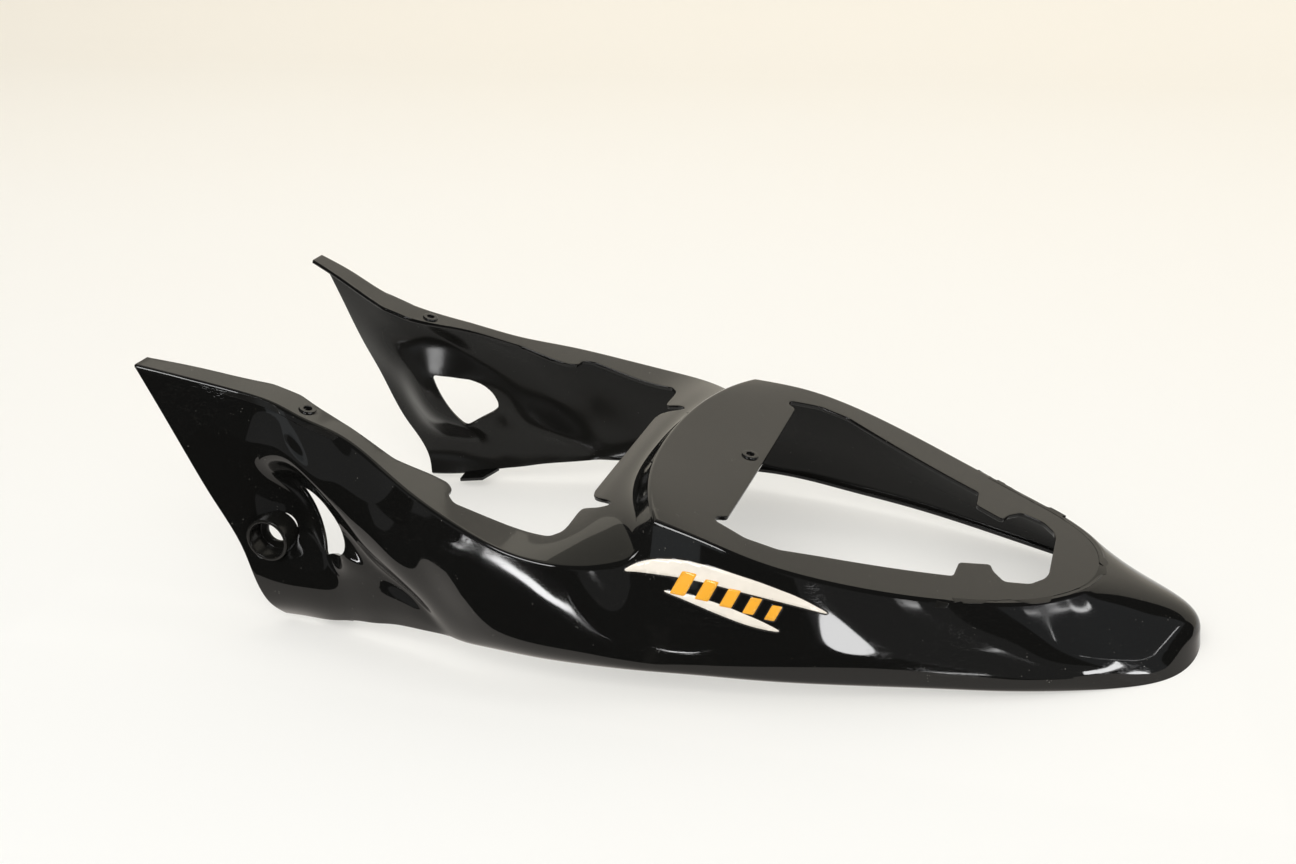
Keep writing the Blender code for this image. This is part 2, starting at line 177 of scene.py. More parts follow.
@dataclass
class Sheet:
    """A grid of points with holes cut out of it by outlines in its own two directions.

    Attributes:
        grid: Points as rows along the fairing and columns across it.
        pitch: Rough size of a grid cell along and across, in millimetres.
        holes: Outlines in grid positions.
        near_cells: Cells closer to a hole than this are cut anew.
        clearance: Share of a cell that stays clear of points beside a hole.
        axes: Which two of x, y and z the outlines are drawn in.
        film_step: Cells between the points of a film, and its clearance in millimetres.
        tries: Steps of the search for a place on the grid.
        probe: Cells between the two points that give a slope.
        longest: The longest step of that search, in cells.
    """

    grid: np.ndarray
    pitch: Point = (2.6, 2.6)
    holes: list[np.ndarray] = field(default_factory=list)
    axes: tuple[int, int] = (0, 1)
    near_cells: float = 2.1
    clearance: float = 0.42
    film_step: float = 0.7
    tries: int = 25
    probe: float = 0.05
    longest: float = 3.0

    def at(self, where: np.ndarray) -> np.ndarray:
        """Read points between those of the grid.

        Args:
            where: Grid positions, one row of two for each point.

        Returns:
            The points, on smooth curves through the grid's own.
        """
        rows, columns = self.grid.shape[:2]
        where = np.clip(where, 0, [rows - 1, columns - 1])
        base = np.minimum(where.astype(int), [rows - 2, columns - 2])
        part = where - base
        weights = [self._weights(part[:, axis]) for axis in (0, 1)]
        found = np.zeros((len(where), 3))
        for a in range(4):
            i = base[:, 0] + a - 1
            for b in range(4):
                j = base[:, 1] + b - 1
                found += (weights[0][a] * weights[1][b])[:, None] * self._beyond(i, j)
        return found

    def _beyond(self, i: np.ndarray, j: np.ndarray) -> np.ndarray:
        """Grid points by index, carried straight on past the grid's edges."""
        rows, columns = self.grid.shape[:2]
        ci, cj = np.clip(i, 0, rows - 1), np.clip(j, 0, columns - 1)
        ri, rj = np.clip(2 * ci - i, 0, rows - 1), np.clip(2 * cj - j, 0, columns - 1)
        return self.grid[ci, cj] * 2 - self.grid[ri, rj]

    @staticmethod
    def _weights(t: np.ndarray) -> list[np.ndarray]:
        """Weights of the four grid points round a position."""
        return [
            (-(t**3) + 2 * t**2 - t) / 2,
            (3 * t**3 - 5 * t**2 + 2) / 2,
            (-3 * t**3 + 4 * t**2 + t) / 2,
            (t**3 - t**2) / 2,
        ]

    def locate(self, outline: np.ndarray) -> np.ndarray:
        """Find where an outline drawn in plan or from the side lies on the grid.

        Args:
            outline: Its points in the sheet's two axes.

        Returns:
            The grid positions, carried past the edges where the outline leaves the sheet.
        """
        axes = list(self.axes)
        flat = self.grid[..., axes]
        rows, columns = flat.shape[:2]
        nearest = np.linalg.norm(flat.reshape(1, -1, 2) - outline[:, None, :], axis=2).argmin(axis=1)
        where = np.stack([nearest // columns, nearest % columns], axis=1).astype(float)
        limits = np.array([rows - 1, columns - 1], float)
        for _ in range(self.tries):
            inside = np.clip(where, 0, limits)
            here = self.at(inside)[:, axes]
            slopes = []
            for axis in (0, 1):
                step = np.zeros(2)
                step[axis] = self.probe
                ahead, behind = np.clip(inside + step, 0, limits), np.clip(inside - step, 0, limits)
                span = (ahead - behind)[:, axis][:, None]
                slopes.append((self.at(ahead) - self.at(behind))[:, axes] / span)
            jacobian = np.stack(slopes, axis=2)
            past = np.einsum("nij,nj->ni", jacobian, where - inside)
            miss = outline - here - past
            step = np.linalg.solve(jacobian, miss[..., None])[..., 0]
            where = where + np.clip(step, -self.longest, self.longest)
        return where

    def cut(self) -> tuple[np.ndarray, list[tuple[int, ...]]]:
        """Triangulate the sheet round its holes.

        Returns:
            The points and the faces, plain grid cells wherever no hole comes near.
        """
        rows, columns = self.grid.shape[:2]
        points = [self.grid.reshape(-1, 3)]
        near = np.zeros((rows - 1, columns - 1), bool)
        cells = np.argwhere(~near) + 0.5
        for hole in self.holes:
            close = inside_outline(cells, hole)
            for point in hole:
                close |= np.abs(cells - point).max(axis=1) < self.near_cells
            near |= close.reshape(near.shape)
        faces: list[tuple[int, ...]] = []
        for i in range(rows - 1):
            for j in range(columns - 1):
                if not near[i, j]:
                    a = i * columns + j
                    faces.append((a, a + 1, a + columns + 1, a + columns))
        if near.any():
            added, patch = self._patch(near, rows * columns)
            points.append(added)
            faces.extend(patch)
        return np.concatenate(points), faces

    def _patch(self, near: np.ndarray, offset: int) -> tuple[np.ndarray, list[tuple[int, ...]]]:
        """Triangulate the cells that lie near a hole.

        Args:
            near: True for each such cell.
            offset: Index of the first point that is added.

        Returns:
            The points and the faces of this patch. Its outer points repeat those of the grid.
        """
        scale = np.array(self.pitch)
        used = np.zeros(np.array(near.shape) + 1, bool)
        for di in (0, 1):
            for dj in (0, 1):
                used[di : di + near.shape[0], dj : dj + near.shape[1]] |= near
        nodes = np.argwhere(used).astype(float)
        clear = np.ones(len(nodes), bool)
        for hole in self.holes:
            edge = (np.roll(hole, -1, axis=0) + hole) / 2
            for ring in (hole, edge):
                away = np.linalg.norm((nodes[:, None] - ring[None]) * scale, axis=2).min(axis=1)
                clear &= away > min(scale) * self.clearance
            clear &= ~inside_outline(nodes, hole)
        names = {point for edge in self._border_edges(near) for point in edge}
        kept = [tuple(node) for node, keep in zip(nodes, clear) if keep or tuple(node) in names]
        index = {node: i for i, node in enumerate(kept)}
        edges = [(index[i], index[j]) for i, j in self._border_edges(near)]
        flat = [Vector((node[0] * scale[0], node[1] * scale[1])) for node in kept]
        for hole in self.holes:
            first = len(flat)
            flat.extend(Vector((p[0] * scale[0], p[1] * scale[1])) for p in hole)
            edges.extend((first + i, first + (i + 1) % len(hole)) for i in range(len(hole)))
        verts, _, tris, *_ = delaunay_2d_cdt(flat, edges, [], 0, 1e-7)
        where = np.array([tuple(v) for v in verts]) / scale
        corners = np.array(tris)
        middles = where[corners].mean(axis=1)
        keep = np.ones(len(corners), bool)
        for hole in self.holes:
            keep &= ~inside_outline(middles, hole)
        cell = np.floor(middles).astype(int)
        inside = (cell >= 0).all(axis=1) & (cell < near.shape).all(axis=1)
        cell = np.clip(cell, 0, np.array(near.shape) - 1)
        keep &= inside & near[cell[:, 0], cell[:, 1]]
        turned = np.cross(
            where[corners[:, 1]] - where[corners[:, 0]], where[corners[:, 2]] - where[corners[:, 0]]
        )
        faces = []
        for corner, way in zip(corners[keep], turned[keep]):
            a, b, c = (int(v) + offset for v in corner)
            faces.append((a, c, b) if way > 0 else (a, b, c))
        return self.at(where), faces

    def film(self, outline: np.ndarray, lift: float) -> tuple[np.ndarray, list[tuple[int, ...]]]:
        """Cover an outlined part of the sheet.

        Args:
            outline: Grid positions of the outline's points.
            lift: How far the cover lies off the sheet.

        Returns:
            The cover's points and faces.
        """
        scale = np.array(self.pitch)
        low, high = outline.min(axis=0), outline.max(axis=0)
        across = [np.arange(low[axis], high[axis], self.film_step) for axis in (0, 1)]
        nodes = np.stack(np.meshgrid(*across, indexing="ij"), axis=-1).reshape(-1, 2)
        away = np.linalg.norm((nodes[:, None] - outline[None]) * scale, axis=2).min(axis=1)
        nodes = nodes[inside_outline(nodes, outline) & (away > self.film_step)]
        flat = [Vector(point * scale) for point in np.concatenate([outline, nodes])]
        edges = [(i, (i + 1) % len(outline)) for i in range(len(outline))]
        verts, _, tris, *_ = delaunay_2d_cdt(flat, edges, [], 1, 1e-7)
        where = np.array([tuple(v) for v in verts]) / scale
        step = np.array(((0.1, 0.0), (0.0, 0.1)))
        down = self.at(where + step[1]) - self.at(where - step[1])
        back = self.at(where + step[0]) - self.at(where - step[0])
        normal = np.cross(down, back)
        normal /= np.linalg.norm(normal, axis=1)[:, None]
        normal *= np.where(normal[:, 1] < 0, -1, 1)[:, None]
        return self.at(where) + normal * lift, [tuple(tri) for tri in tris]

    @staticmethod
    def _border_edges(near: np.ndarray) -> list[tuple[Point, Point]]:
        """The grid edges round the cells that are marked near."""
        padded = np.pad(near, 1)
        found = []
        for i, j in np.argwhere(near):
            a, b, c, d = (float(i), float(j)), (float(i), j + 1.0), (i + 1.0, j + 1.0), (i + 1.0, float(j))
            if not padded[i, j + 1]:
                found.append((a, b))
            if not padded[i + 2, j + 1]:
                found.append((d, c))
            if not padded[i + 1, j]:
                found.append((a, d))
            if not padded[i + 1, j + 2]:
                found.append((b, c))
        return found


def inside_outline(points: np.ndarray, outline: np.ndarray) -> np.ndarray:
    """Tell which points lie inside a closed outline.

    Args:
        points: One row of two for each point.
        outline: The outline's points, in order.

    Returns:
        True for each point inside.
    """
    x, y = points[:, 0][:, None], points[:, 1][:, None]
    x0, y0 = outline[:, 0][None], outline[:, 1][None]
    x1, y1 = np.roll(outline[:, 0], -1)[None], np.roll(outline[:, 1], -1)[None]
    spans = (y0 > y) != (y1 > y)
    rise = np.where(y1 == y0, 1e-12, y1 - y0)
    crossed = spans & (x < (x1 - x0) * (y - y0) / rise + x0)
    return crossed.sum(axis=1) % 2 == 1


@dataclass
class Shell:
    """The moulded skin: two wings, shelf, riser, deck and side skin, with their openings.

    Attributes:
        sections: Crease, shoulder, ridge and lip of each section, as (x, half width, z).
        scoops: The points inside each scoop on the first sections, as (half width, z).
    """

    sections: tuple[tuple[Point, ...], ...] = (
        ((0, 131, 187.5), (16, 130, 152.5), (33, 129, 114.5), (85, 122, 3.5)),
        ((32, 122, 177.5), (45, 119, 147.5), (58, 118, 116.5), (105, 124, 4.5)),
        ((60, 112.5, 167.5), (69, 112.5, 144.5), (77, 117, 122.5), (125, 128, 6.5)),
        ((88, 108, 158.5), (94, 115, 142.5), (101, 122, 125.5), (145, 131, 10.5)),
        ((110, 111, 151), (117, 120, 131.5), (125, 128, 110.5), (160, 134, 12.5)),
        ((139, 115, 143), (146, 130, 118.5), (154, 137.5, 91.5), (178, 137, 15.5)),
        ((172, 127, 130.5), (179, 142, 100.5), (188, 148, 65.5), (200, 142, 17.5)),
        ((210, 146, 117.5), (216, 155, 84.5), (223, 154, 48.5), (228, 148, 19)),
        ((244, 158, 106.5), (247, 163.5, 74), (250, 162.5, 42), (253, 152, 18.5)),
        ((285, 166, 95.5), (287, 168.3, 68), (289, 168, 40), (290, 155, 18.5)),
        ((322, 161, 89.5), (324, 165.5, 61.5), (325, 167, 36), (326, 156, 18.5)),
        ((340, 151, 87.5), (342, 160.5, 59.5), (343, 165, 32), (344, 155.5, 18.5)),
        ((354, 139, 91.5), (355, 154.5, 62.5), (357, 162.5, 29), (358, 155, 18.5)),
        ((364, 126, 110.5), (366, 149, 68.5), (368, 160, 27), (369, 154.5, 18.5)),
        ((400, 133, 103), (401, 147.5, 62.5), (402, 155.5, 25), (403, 149, 17.5)),
        ((427, 135, 95), (429, 145, 58), (430, 150.5, 23), (431, 143, 15.5)),
        ((478, 125, 79.5), (481, 134, 50), (483, 138, 19.5), (484, 130, 12.5)),
        ((530, 104.5, 65), (536, 114, 41.5), (540, 119.5, 15), (542, 112.5, 8)),
        ((575, 81.5, 55), (588, 92.5, 33), (596, 99.5, 10.5), (600, 93, 3)),
        ((605, 60.5, 50.5), (622, 69, 31), (638, 77, 13), (647, 74.5, 0.5)),
        ((624, 38, 48.5), (645, 43, 30), (665, 52, 12.5), (679, 54, 0)),
        ((634, 0, 47), (671, 0, 31), (697, 0, 11.5), (698, 0, 0)),
    )
    scoops: tuple[tuple[Point, ...], ...] = (
        ((129, 92.5), (128, 53), (132.5, 32.5), (131.5, 16.5)),
        ((118.5, 95.5), (123.5, 53), (133, 33.5), (132, 17.5)),
        ((108.5, 100.5), (111.5, 60.5), (132.5, 36), (133, 19.5)),
        ((112, 97.5), (121, 56.5), (131.5, 39.5), (134, 22.5)),
        ((124, 91.5), (134, 60.5), (134, 44.5), (136, 26.5)),
        ((137, 72.5), (134.5, 53.5), (135.5, 42.5), (138.5, 28.5)),
        ((142.5, 50.5), (139, 42.5), (141, 36.5), (143, 27.5)),
    )
    turn_shares: Point = (0.3, 0.52, 0.72, 0.88)
    deck_corner: int = 13
    riser_foot: int = 10
    riser_middle: tuple[Point, ...] = ((311, 98.5), (320, 100), (328, 105), (336, 116))
    deck_middle: tuple[Point, ...] = ((384, 105.5), (420, 96.5))
    arc_power: float = 2.2
    crown_power: float = 4.0
    along: float = 2.8
    row_counts: tuple[int, ...] = (13, 12, 8, 12, 8, 5, 5)
    top_columns: int = 46
    wall: float = 3.0

    def section_rows(self, number: int) -> np.ndarray:
        """The guide points down the side at one section, from the crease to the lip."""
        crease, shoulder, ridge, lip = (np.array(p, float) for p in self.sections[number])
        if number < len(self.scoops):
            middle = []
            for half_width, z in self.scoops[number]:
                share = (crease[2] - z) / (crease[2] - lip[2])
                middle.append(np.array((crease[0] + (lip[0] - crease[0]) * share, half_width, z)))
        else:
            middle = [self.turned_under(ridge, lip, share * math.pi / 2) for share in self.turn_shares]
        return np.array([crease, shoulder, ridge, *middle, lip])

    @staticmethod
    def turned_under(ridge: np.ndarray, lip: np.ndarray, angle: float) -> np.ndarray:
        """A point on the quarter turn from the ridge in to the lip, or on a straight run out to it."""
        down = 1 - math.sin(angle)
        inward = math.cos(angle) if ridge[1] > lip[1] else down
        return lip + (ridge - lip) * np.array((down, inward, down))

    def guides(self) -> tuple[np.ndarray, np.ndarray, np.ndarray]:
        """Smooth guide lines along the fairing.

        Returns:
            The section knots, the positions of the columns between them, and the guides' points by
            column and row.
        """
        rows = np.array([self.section_rows(i) for i in range(len(self.sections))])
        gaps = np.linalg.norm(np.diff(rows, axis=0), axis=2).mean(axis=1)
        knots = np.concatenate([[0.0], np.cumsum(gaps)])
        count = max(2, round(knots[-1] / self.along))
        at = np.linspace(0, knots[-1], count + 1)
        corner = knots[self.deck_corner]
        at[np.abs(at - corner).argmin()] = corner
        mirrored = rows[-2:-5:-1] * np.array((1, -1, 1))
        long_rows = np.concatenate([rows, mirrored])
        long_knots = np.concatenate([knots, 2 * knots[-1] - knots[-2:-5:-1]])
        lines = [spline(long_knots, long_rows[:, row], at) for row in range(rows.shape[1])]
        lines[0] = self.creased(long_knots, long_rows[:, 0], at)
        return knots, at, np.stack(lines, axis=1)

    def creased(self, knots: np.ndarray, points: np.ndarray, at: np.ndarray) -> np.ndarray:
        """A spline along the fairing with a corner at the deck's front corner."""
        cut = self.deck_corner
        corner = knots[cut]
        before = spline(knots[: cut + 1], points[: cut + 1], at[at <= corner])
        after = spline(knots[cut:], points[cut:], at[at > corner])
        return np.concatenate([before, after])

    def side_grid(self) -> np.ndarray:
        """The side skin's points, by column along the fairing and by row down it."""
        _, _, guides = self.guides()
        columns = []
        for guide in guides:
            knots = lengths(guide)
            at = [
                np.linspace(knots[i], knots[i + 1], count, endpoint=False)
                for i, count in enumerate(self.row_counts)
            ]
            columns.append(spline(knots, guide, np.concatenate([*at, knots[-1:]])))
        grid = np.array(columns)
        grid[-1, :, 1] = 0
        return grid

    def top_grid(self, crease: np.ndarray) -> np.ndarray:
        """The top skin's points, by column along the fairing and from the crease to the middle."""
        knots, at, _ = self.guides()
        middle = np.array([(s[0][0], 0.0, s[0][2]) for s in self.sections], float)
        for i, (x, z) in enumerate(self.riser_middle):
            middle[self.riser_foot + i] = x, 0.0, z
        for i, (x, z) in enumerate(self.deck_middle):
            middle[self.deck_corner + 1 + i] = x, 0.0, z
        middles = self.creased(knots, middle, at)
        share = 1 - np.arange(self.top_columns + 1) / self.top_columns
        grid = np.empty((len(crease), len(share), 3))
        for axis, power in ((0, self.arc_power), (2, self.crown_power)):
            start = middles[:, None, axis]
            grid[..., axis] = start + (crease[:, None, axis] - start) * share[None] ** power
        grid[..., 1] = crease[:, None, 1] * share[None]
        return grid


@dataclass
class Openings:
    """The outlines of the openings, in plan or from the side.

    Attributes:
        flange: The flange's width along the wing, as (x, width).
        scoop: The opening of each scoop from the side, as (x, z).
    """

    flange: tuple[Point, ...] = (
        (0, 16), (76, 25), (97, 25.5), (134, 17), (179, 19), (205, 32.5), (217, 36)
    )
    ahead_of_wings: float = -20.0
    shelf_half_gap: float = 133.0
    shelf_edge: float = 302.0
    hook_slot: tuple[Point, ...] = (
        (303, 92), (314, 91), (319, 87.5), (320, 84), (317, 81), (309, 78), (304, 74)
    )
    window_border: tuple[Point, ...] = (
        (400, 27), (419, 23.5), (440, 24), (462, 30), (505, 34.5), (543, 34.5)
    )
    window_front: float = 403.0
    relief_depth: float = 6.0
    relief_width: float = 12.0
    tab_front: float = 543.0
    tab_length: float = 20.0
    tab_reach: float = 20.0
    window_rear: tuple[Point, ...] = ((566, 42), (574, 51.5), (590, 45.5), (598, 34), (600, 26))
    scoop: tuple[Point, ...] = (
        (101, 98.5), (114, 96), (127, 92), (136, 86.5), (142, 80), (145.5, 72.5), (145.5, 66),
        (141, 61.5), (132, 58), (122, 53),
    )

    def seat(self, crease: np.ndarray) -> Outline:
        """The seat opening's right half, closed just past the middle plane."""
        half = [(x, self.beside(crease, x) - width) for x, width in self.flange]
        notch = self.flange[-1][0]
        gap, edge, ahead = self.shelf_half_gap, self.shelf_edge, self.ahead_of_wings
        return [
            (ahead, half[0][1]), *half,
            (notch + 6, half[-1][1] + 6), (notch + 6, gap - 7), (notch + 13, gap),
            (edge - 7, gap), (edge - 1, gap - 8), (edge, gap - 16), (edge, 98.0),
            *self.hook_slot, (edge, 66.0), (edge, PAST_MIDDLE), (ahead, PAST_MIDDLE),
        ]

    def window(self, crease: np.ndarray) -> Outline:
        """The deck window's right half, closed just past the middle plane."""
        front = self.window_front
        relief = self.beside(crease, front) - self.window_border[0][1]
        half: Outline = [
            (front, PAST_MIDDLE), (front, relief - self.relief_width),
            (front - self.relief_depth, relief - self.relief_width + 3),
            (front - self.relief_depth, relief - 3),
        ]
        half += [(x, self.beside(crease, x) - width) for x, width in self.window_border[1:]]
        root = half[-1][1]
        half.append((self.tab_front + 1, root - self.tab_reach))
        half.append((self.tab_front + self.tab_length, root - self.tab_reach * 1.5))
        return [*half, *self.window_rear, (self.window_rear[-1][0], PAST_MIDDLE)]

    @staticmethod
    def beside(crease: np.ndarray, x: float) -> float:
        """The crease's distance from the middle plane at this x."""
        order = np.argsort(crease[:, 0])
        return float(np.interp(x, crease[order, 0], crease[order, 1]))


@dataclass
class Lock:
    """The bush for the seat lock in the left wing, as radii and depths. The skin runs in under its rim."""

    x: float = 81.5
    z: float = 63.0
    rim: float = 127.8
    outer: float = 15.8
    counterbore: float = 13.25
    bore: float = 7.8
    depth: float = 15.0
    overlap: float = 0.8


@dataclass
class WingTab:
    """The flat tab under each wing, turned in from the lip. Its underside rises with the lip.

    Attributes:
        root: Where it starts and ends along the lip.
        tip: Where its inner edge starts and ends.
        reach: How far it goes in from the lip.
        wall: Its thickness.
        start: Height of its underside at its front end.
        slope: Rise of the underside for each millimetre back.
        tuck: How far its root lies inside the lip.
        narrowing: How much it loses from its reach.
    """

    root: Point = (114.0, 143.0)
    tip: Point = (115.5, 136.0)
    reach: float = 14.5
    wall: float = 3.0
    start: float = 4.6
    slope: float = 0.15
    tuck: float = 1.2
    narrowing: float = 0.3


@dataclass
class Boss:
    """A screw boss's radii, its rise and its places."""

    outer: float = 6.0
    bore: float = 2.9
    rise: float = 1.2
    flange_x: float = 109.0
    flange_inset: float = 13.0
    deck_x: float = 393.0


class Ink(Enum):
    """The printed colours of the film on the left side."""

    DARK = (0.012, 0.011, 0.01)
    CREAM = (0.93, 0.87, 0.78)
    AMBER = (1.0, 0.47, 0.04)


@dataclass
class Decal:
    """A printed film on the left side: two tapered sweeps with slanted bars between them.

    Attributes:
        sweeps: Outlines from the side, as (x, z).
        bars: Lower front corner of each bar, as (x, z).
        bar: Length, height and slant of the largest bar.
        taper: How much smaller each bar is than the one ahead of it.
        film: Thickness of one printed layer.
        border: How far the dark layer shows round the others.
    """

    sweeps: tuple[tuple[Point, ...], ...] = (
        ((346, 83), (362, 89), (384, 91), (408, 88.5), (434, 82), (458, 73), (480, 60.5),
         (457, 67.5), (432, 73.5), (406, 78.5), (384, 80.5), (364, 81.5)),
        ((371, 73), (392, 71.5), (414, 66.5), (436, 58.5), (452, 50.5),
         (432, 54), (412, 60.5), (392, 67)),
    )
    bars: tuple[Point, ...] = ((379, 71), (395, 69), (410.5, 66), (425, 62.5), (438.5, 59))
    bar: Point = (9.5, 13.5, 7.0)
    taper: float = 0.9
    film: float = 0.09
    border: float = 0.9

    def outlines(self) -> dict[Ink, list[np.ndarray]]:
        """The outlines of each colour."""
        sweeps = [rounded(list(sweep), 9.0, 8) for sweep in self.sweeps]
        bars = []
        for i, (x, z) in enumerate(self.bars):
            length, height, slant = (value * self.taper**i for value in self.bar)
            corners = [(x, z), (x + length, z - 1)]
            corners += [(x + length + slant, z + height - 1), (x + slant, z + height)]
            bars.append(rounded(corners, 1.0, 3))
        dark = [self.grown(outline, self.border) for outline in (*sweeps, *bars)]
        return {Ink.DARK: dark, Ink.CREAM: sweeps, Ink.AMBER: bars}

    @staticmethod
    def grown(outline: np.ndarray, by: float) -> np.ndarray:
        """Move an outline's points outwards."""
        along = np.roll(outline, -1, axis=0) - np.roll(outline, 1, axis=0)
        along /= np.maximum(np.linalg.norm(along, axis=1), 1e-9)[:, None]
        out = np.stack([along[:, 1], -along[:, 0]], axis=1)
        area = np.cross(outline, np.roll(outline, -1, axis=0)).sum()
        return outline + out * (by if area > 0 else -by)


def to_object(name: str, points: np.ndarray, faces: list[tuple[int, ...]]) -> bpy.types.Object:
    """Make a smooth mesh object.

    Args:
        name: Its name.
        points: Its points in millimetres, in the tables' frame.
        faces: Its faces by index.

    Returns:
        The object, in metres and centred as the part is.
    """
    mesh = bpy.data.meshes.new(name)
    moved = (np.asarray(points) - (CENTRE_X, 0, 0)) * MM
    mesh.from_pydata([tuple(p) for p in moved], [], faces)
    mesh.shade_smooth()
    return linked(name, mesh)


@dataclass
class Lathe:
    """A ring turned about its own axis.

    Attributes:
        profile: Radius and height of each point of its section, in millimetres, going round it.
        steps: Points round each circle.
    """

    profile: list[Point]
    steps: int = 96

    def make(self, name: str, foot: Point, axis: Point) -> bpy.types.Object:
        """Turn the ring.

        Args:
            name: The object's name.
            foot: Where height zero is on the axis, in the tables' frame.
            axis: Direction of growing height.

        Returns:
            The object.
        """
        up = Vector(axis).normalized()
        across = up.orthogonal().normalized()
        other = up.cross(across)
        points = []
        for radius, height in self.profile:
            for i in range(self.steps):
                angle = 2 * math.pi * i / self.steps
                spoke = across * math.cos(angle) + other * math.sin(angle)
                points.append(tuple(Vector(foot) + up * height + spoke * radius))
        faces = []
        count = len(self.profile)
        for row in range(count):
            for i in range(self.steps):
                a, b = row * self.steps + i, row * self.steps + (i + 1) % self.steps
                c, d = ((row + 1) % count) * self.steps, i
                faces.append((a, b, c + (i + 1) % self.steps, c + d))
        return to_object(name, np.array(points), faces)


def mitred(profile: list[Point], radius: float = 0.5, steps: int = 3) -> list[Point]:
    """Round every corner of a ring's section."""
    return [tuple(point) for point in rounded(profile, radius, steps)]


class Group:
    """A shader node group that several materials share."""

    def __init__(self, name: str, inputs: dict[str, float], outputs: tuple[str, ...]) -> None:
        """Make the empty group.

        Args:
            name: Its name.
            inputs: Its number inputs with their usual values.
            outputs: Its number outputs. Normal is a vector.
        """
        self.tree = bpy.data.node_groups.new(name, "ShaderNodeTree")
        for key, value in inputs.items():
            made = self.tree.interface.new_socket(key, in_out="INPUT", socket_type="NodeSocketFloat")
            made.default_value = value
        for key in outputs:
            kind = "NodeSocketVector" if key == "Normal" else "NodeSocketFloat"
            self.tree.interface.new_socket(key, in_out="OUTPUT", socket_type=kind)
        self.source = self.tree.nodes.new("NodeGroupInput")
        self.sink = self.tree.nodes.new("NodeGroupOutput")


class Graph:
    """Short ways to add and join the nodes of one node tree."""

    def __init__(self, tree: bpy.types.NodeTree) -> None:
        """Keep the tree that the nodes go into."""
        self.tree = tree

    def node(self, kind: str, **values: object) -> bpy.types.Node:
        """Add a node.

        Args:
            kind: The node's type, without its ShaderNode prefix.
            **values: Properties of the node by name.

        Returns:
            The node.
        """
        made = self.tree.nodes.new("ShaderNode" + kind)
        for key, value in values.items():
            setattr(made, key, value)
        return made

    def join(self, source: bpy.types.NodeSocket, sink: bpy.types.NodeSocket) -> None:
        """Link two sockets."""
        self.tree.links.new(source, sink)

    def feed(self, node: bpy.types.Node, **inputs: object) -> bpy.types.Node:
        """Set or link a node's inputs by name, with underscores for spaces."""
        for key, value in inputs.items():
            name = key.replace("_", " ")
            socket = node.inputs[name] if name in node.inputs else node.inputs[int(key[1:])]
            if isinstance(value, bpy.types.NodeSocket):
                self.join(value, socket)
            else:
                socket.default_value = value
        return node

    def math(self, operation: str, first: object, second: object = 0.5) -> bpy.types.NodeSocket:
        """A number worked out of two others."""
        made = self.feed(self.node("Math", operation=operation), i0=first, i1=second)
        return made.outputs[0]

    def noise(self, vector: bpy.types.NodeSocket, scale: float, **inputs: object) -> bpy.types.NodeSocket:
        """A noise value at the vector."""
        made = self.feed(self.node("TexNoise"), Vector=vector, Scale=scale, **inputs)
        return made.outputs["Fac"]

    def within(
        self, value: bpy.types.NodeSocket, low: float, high: float, start: object = 0.0, end: object = 1.0
    ) -> bpy.types.NodeSocket:
        """Map a value from one range to another, held at both ends."""
        made = self.node("MapRange", clamp=True)
        self.feed(made, Value=value, From_Min=low, From_Max=high, To_Min=start, To_Max=end)
        return made.outputs["Result"]

    def blend(self, share: object, first: object, second: Point) -> bpy.types.NodeSocket:
        """A colour between two others."""
        made = self.node("Mix", data_type="RGBA")
        start = first if isinstance(first, bpy.types.NodeSocket) else (*first, 1.0)
        self.feed(made, i0=share, i6=start, i7=(*second, 1.0))
        return made.outputs[2]

    def place(self) -> bpy.types.NodeSocket:
        """The point on the object, in metres."""
        return self.node("TexCoord").outputs["Object"]

    def group(self, tree: bpy.types.NodeTree, **inputs: object) -> bpy.types.Node:
        """Place a shared group with its own values."""
        return self.feed(self.node("Group", node_tree=tree), **inputs)

    def bump(self, height: bpy.types.NodeSocket, strength: float) -> bpy.types.NodeSocket:
        """A normal that follows a height."""
        made = self.feed(self.node("Bump"), Strength=strength, Distance=BUMP_DEPTH, Height=height)
        return made.outputs[0]

    def surface(self, shader: bpy.types.Node) -> None:
        """Make this shader the material's surface."""
        self.join(shader.outputs[0], self.tree.nodes["Material Output"].inputs["Surface"])


def start_material(name: str) -> tuple[bpy.types.Material, Graph, bpy.types.Node]:
    """Start a material.

    Args:
        name: Its name.

    Returns:
        The material, its graph and its Principled shader.
    """
    made = bpy.data.materials.new(name)
    made.use_nodes = True
    return made, Graph(made.node_tree), made.node_tree.nodes["Principled BSDF"]


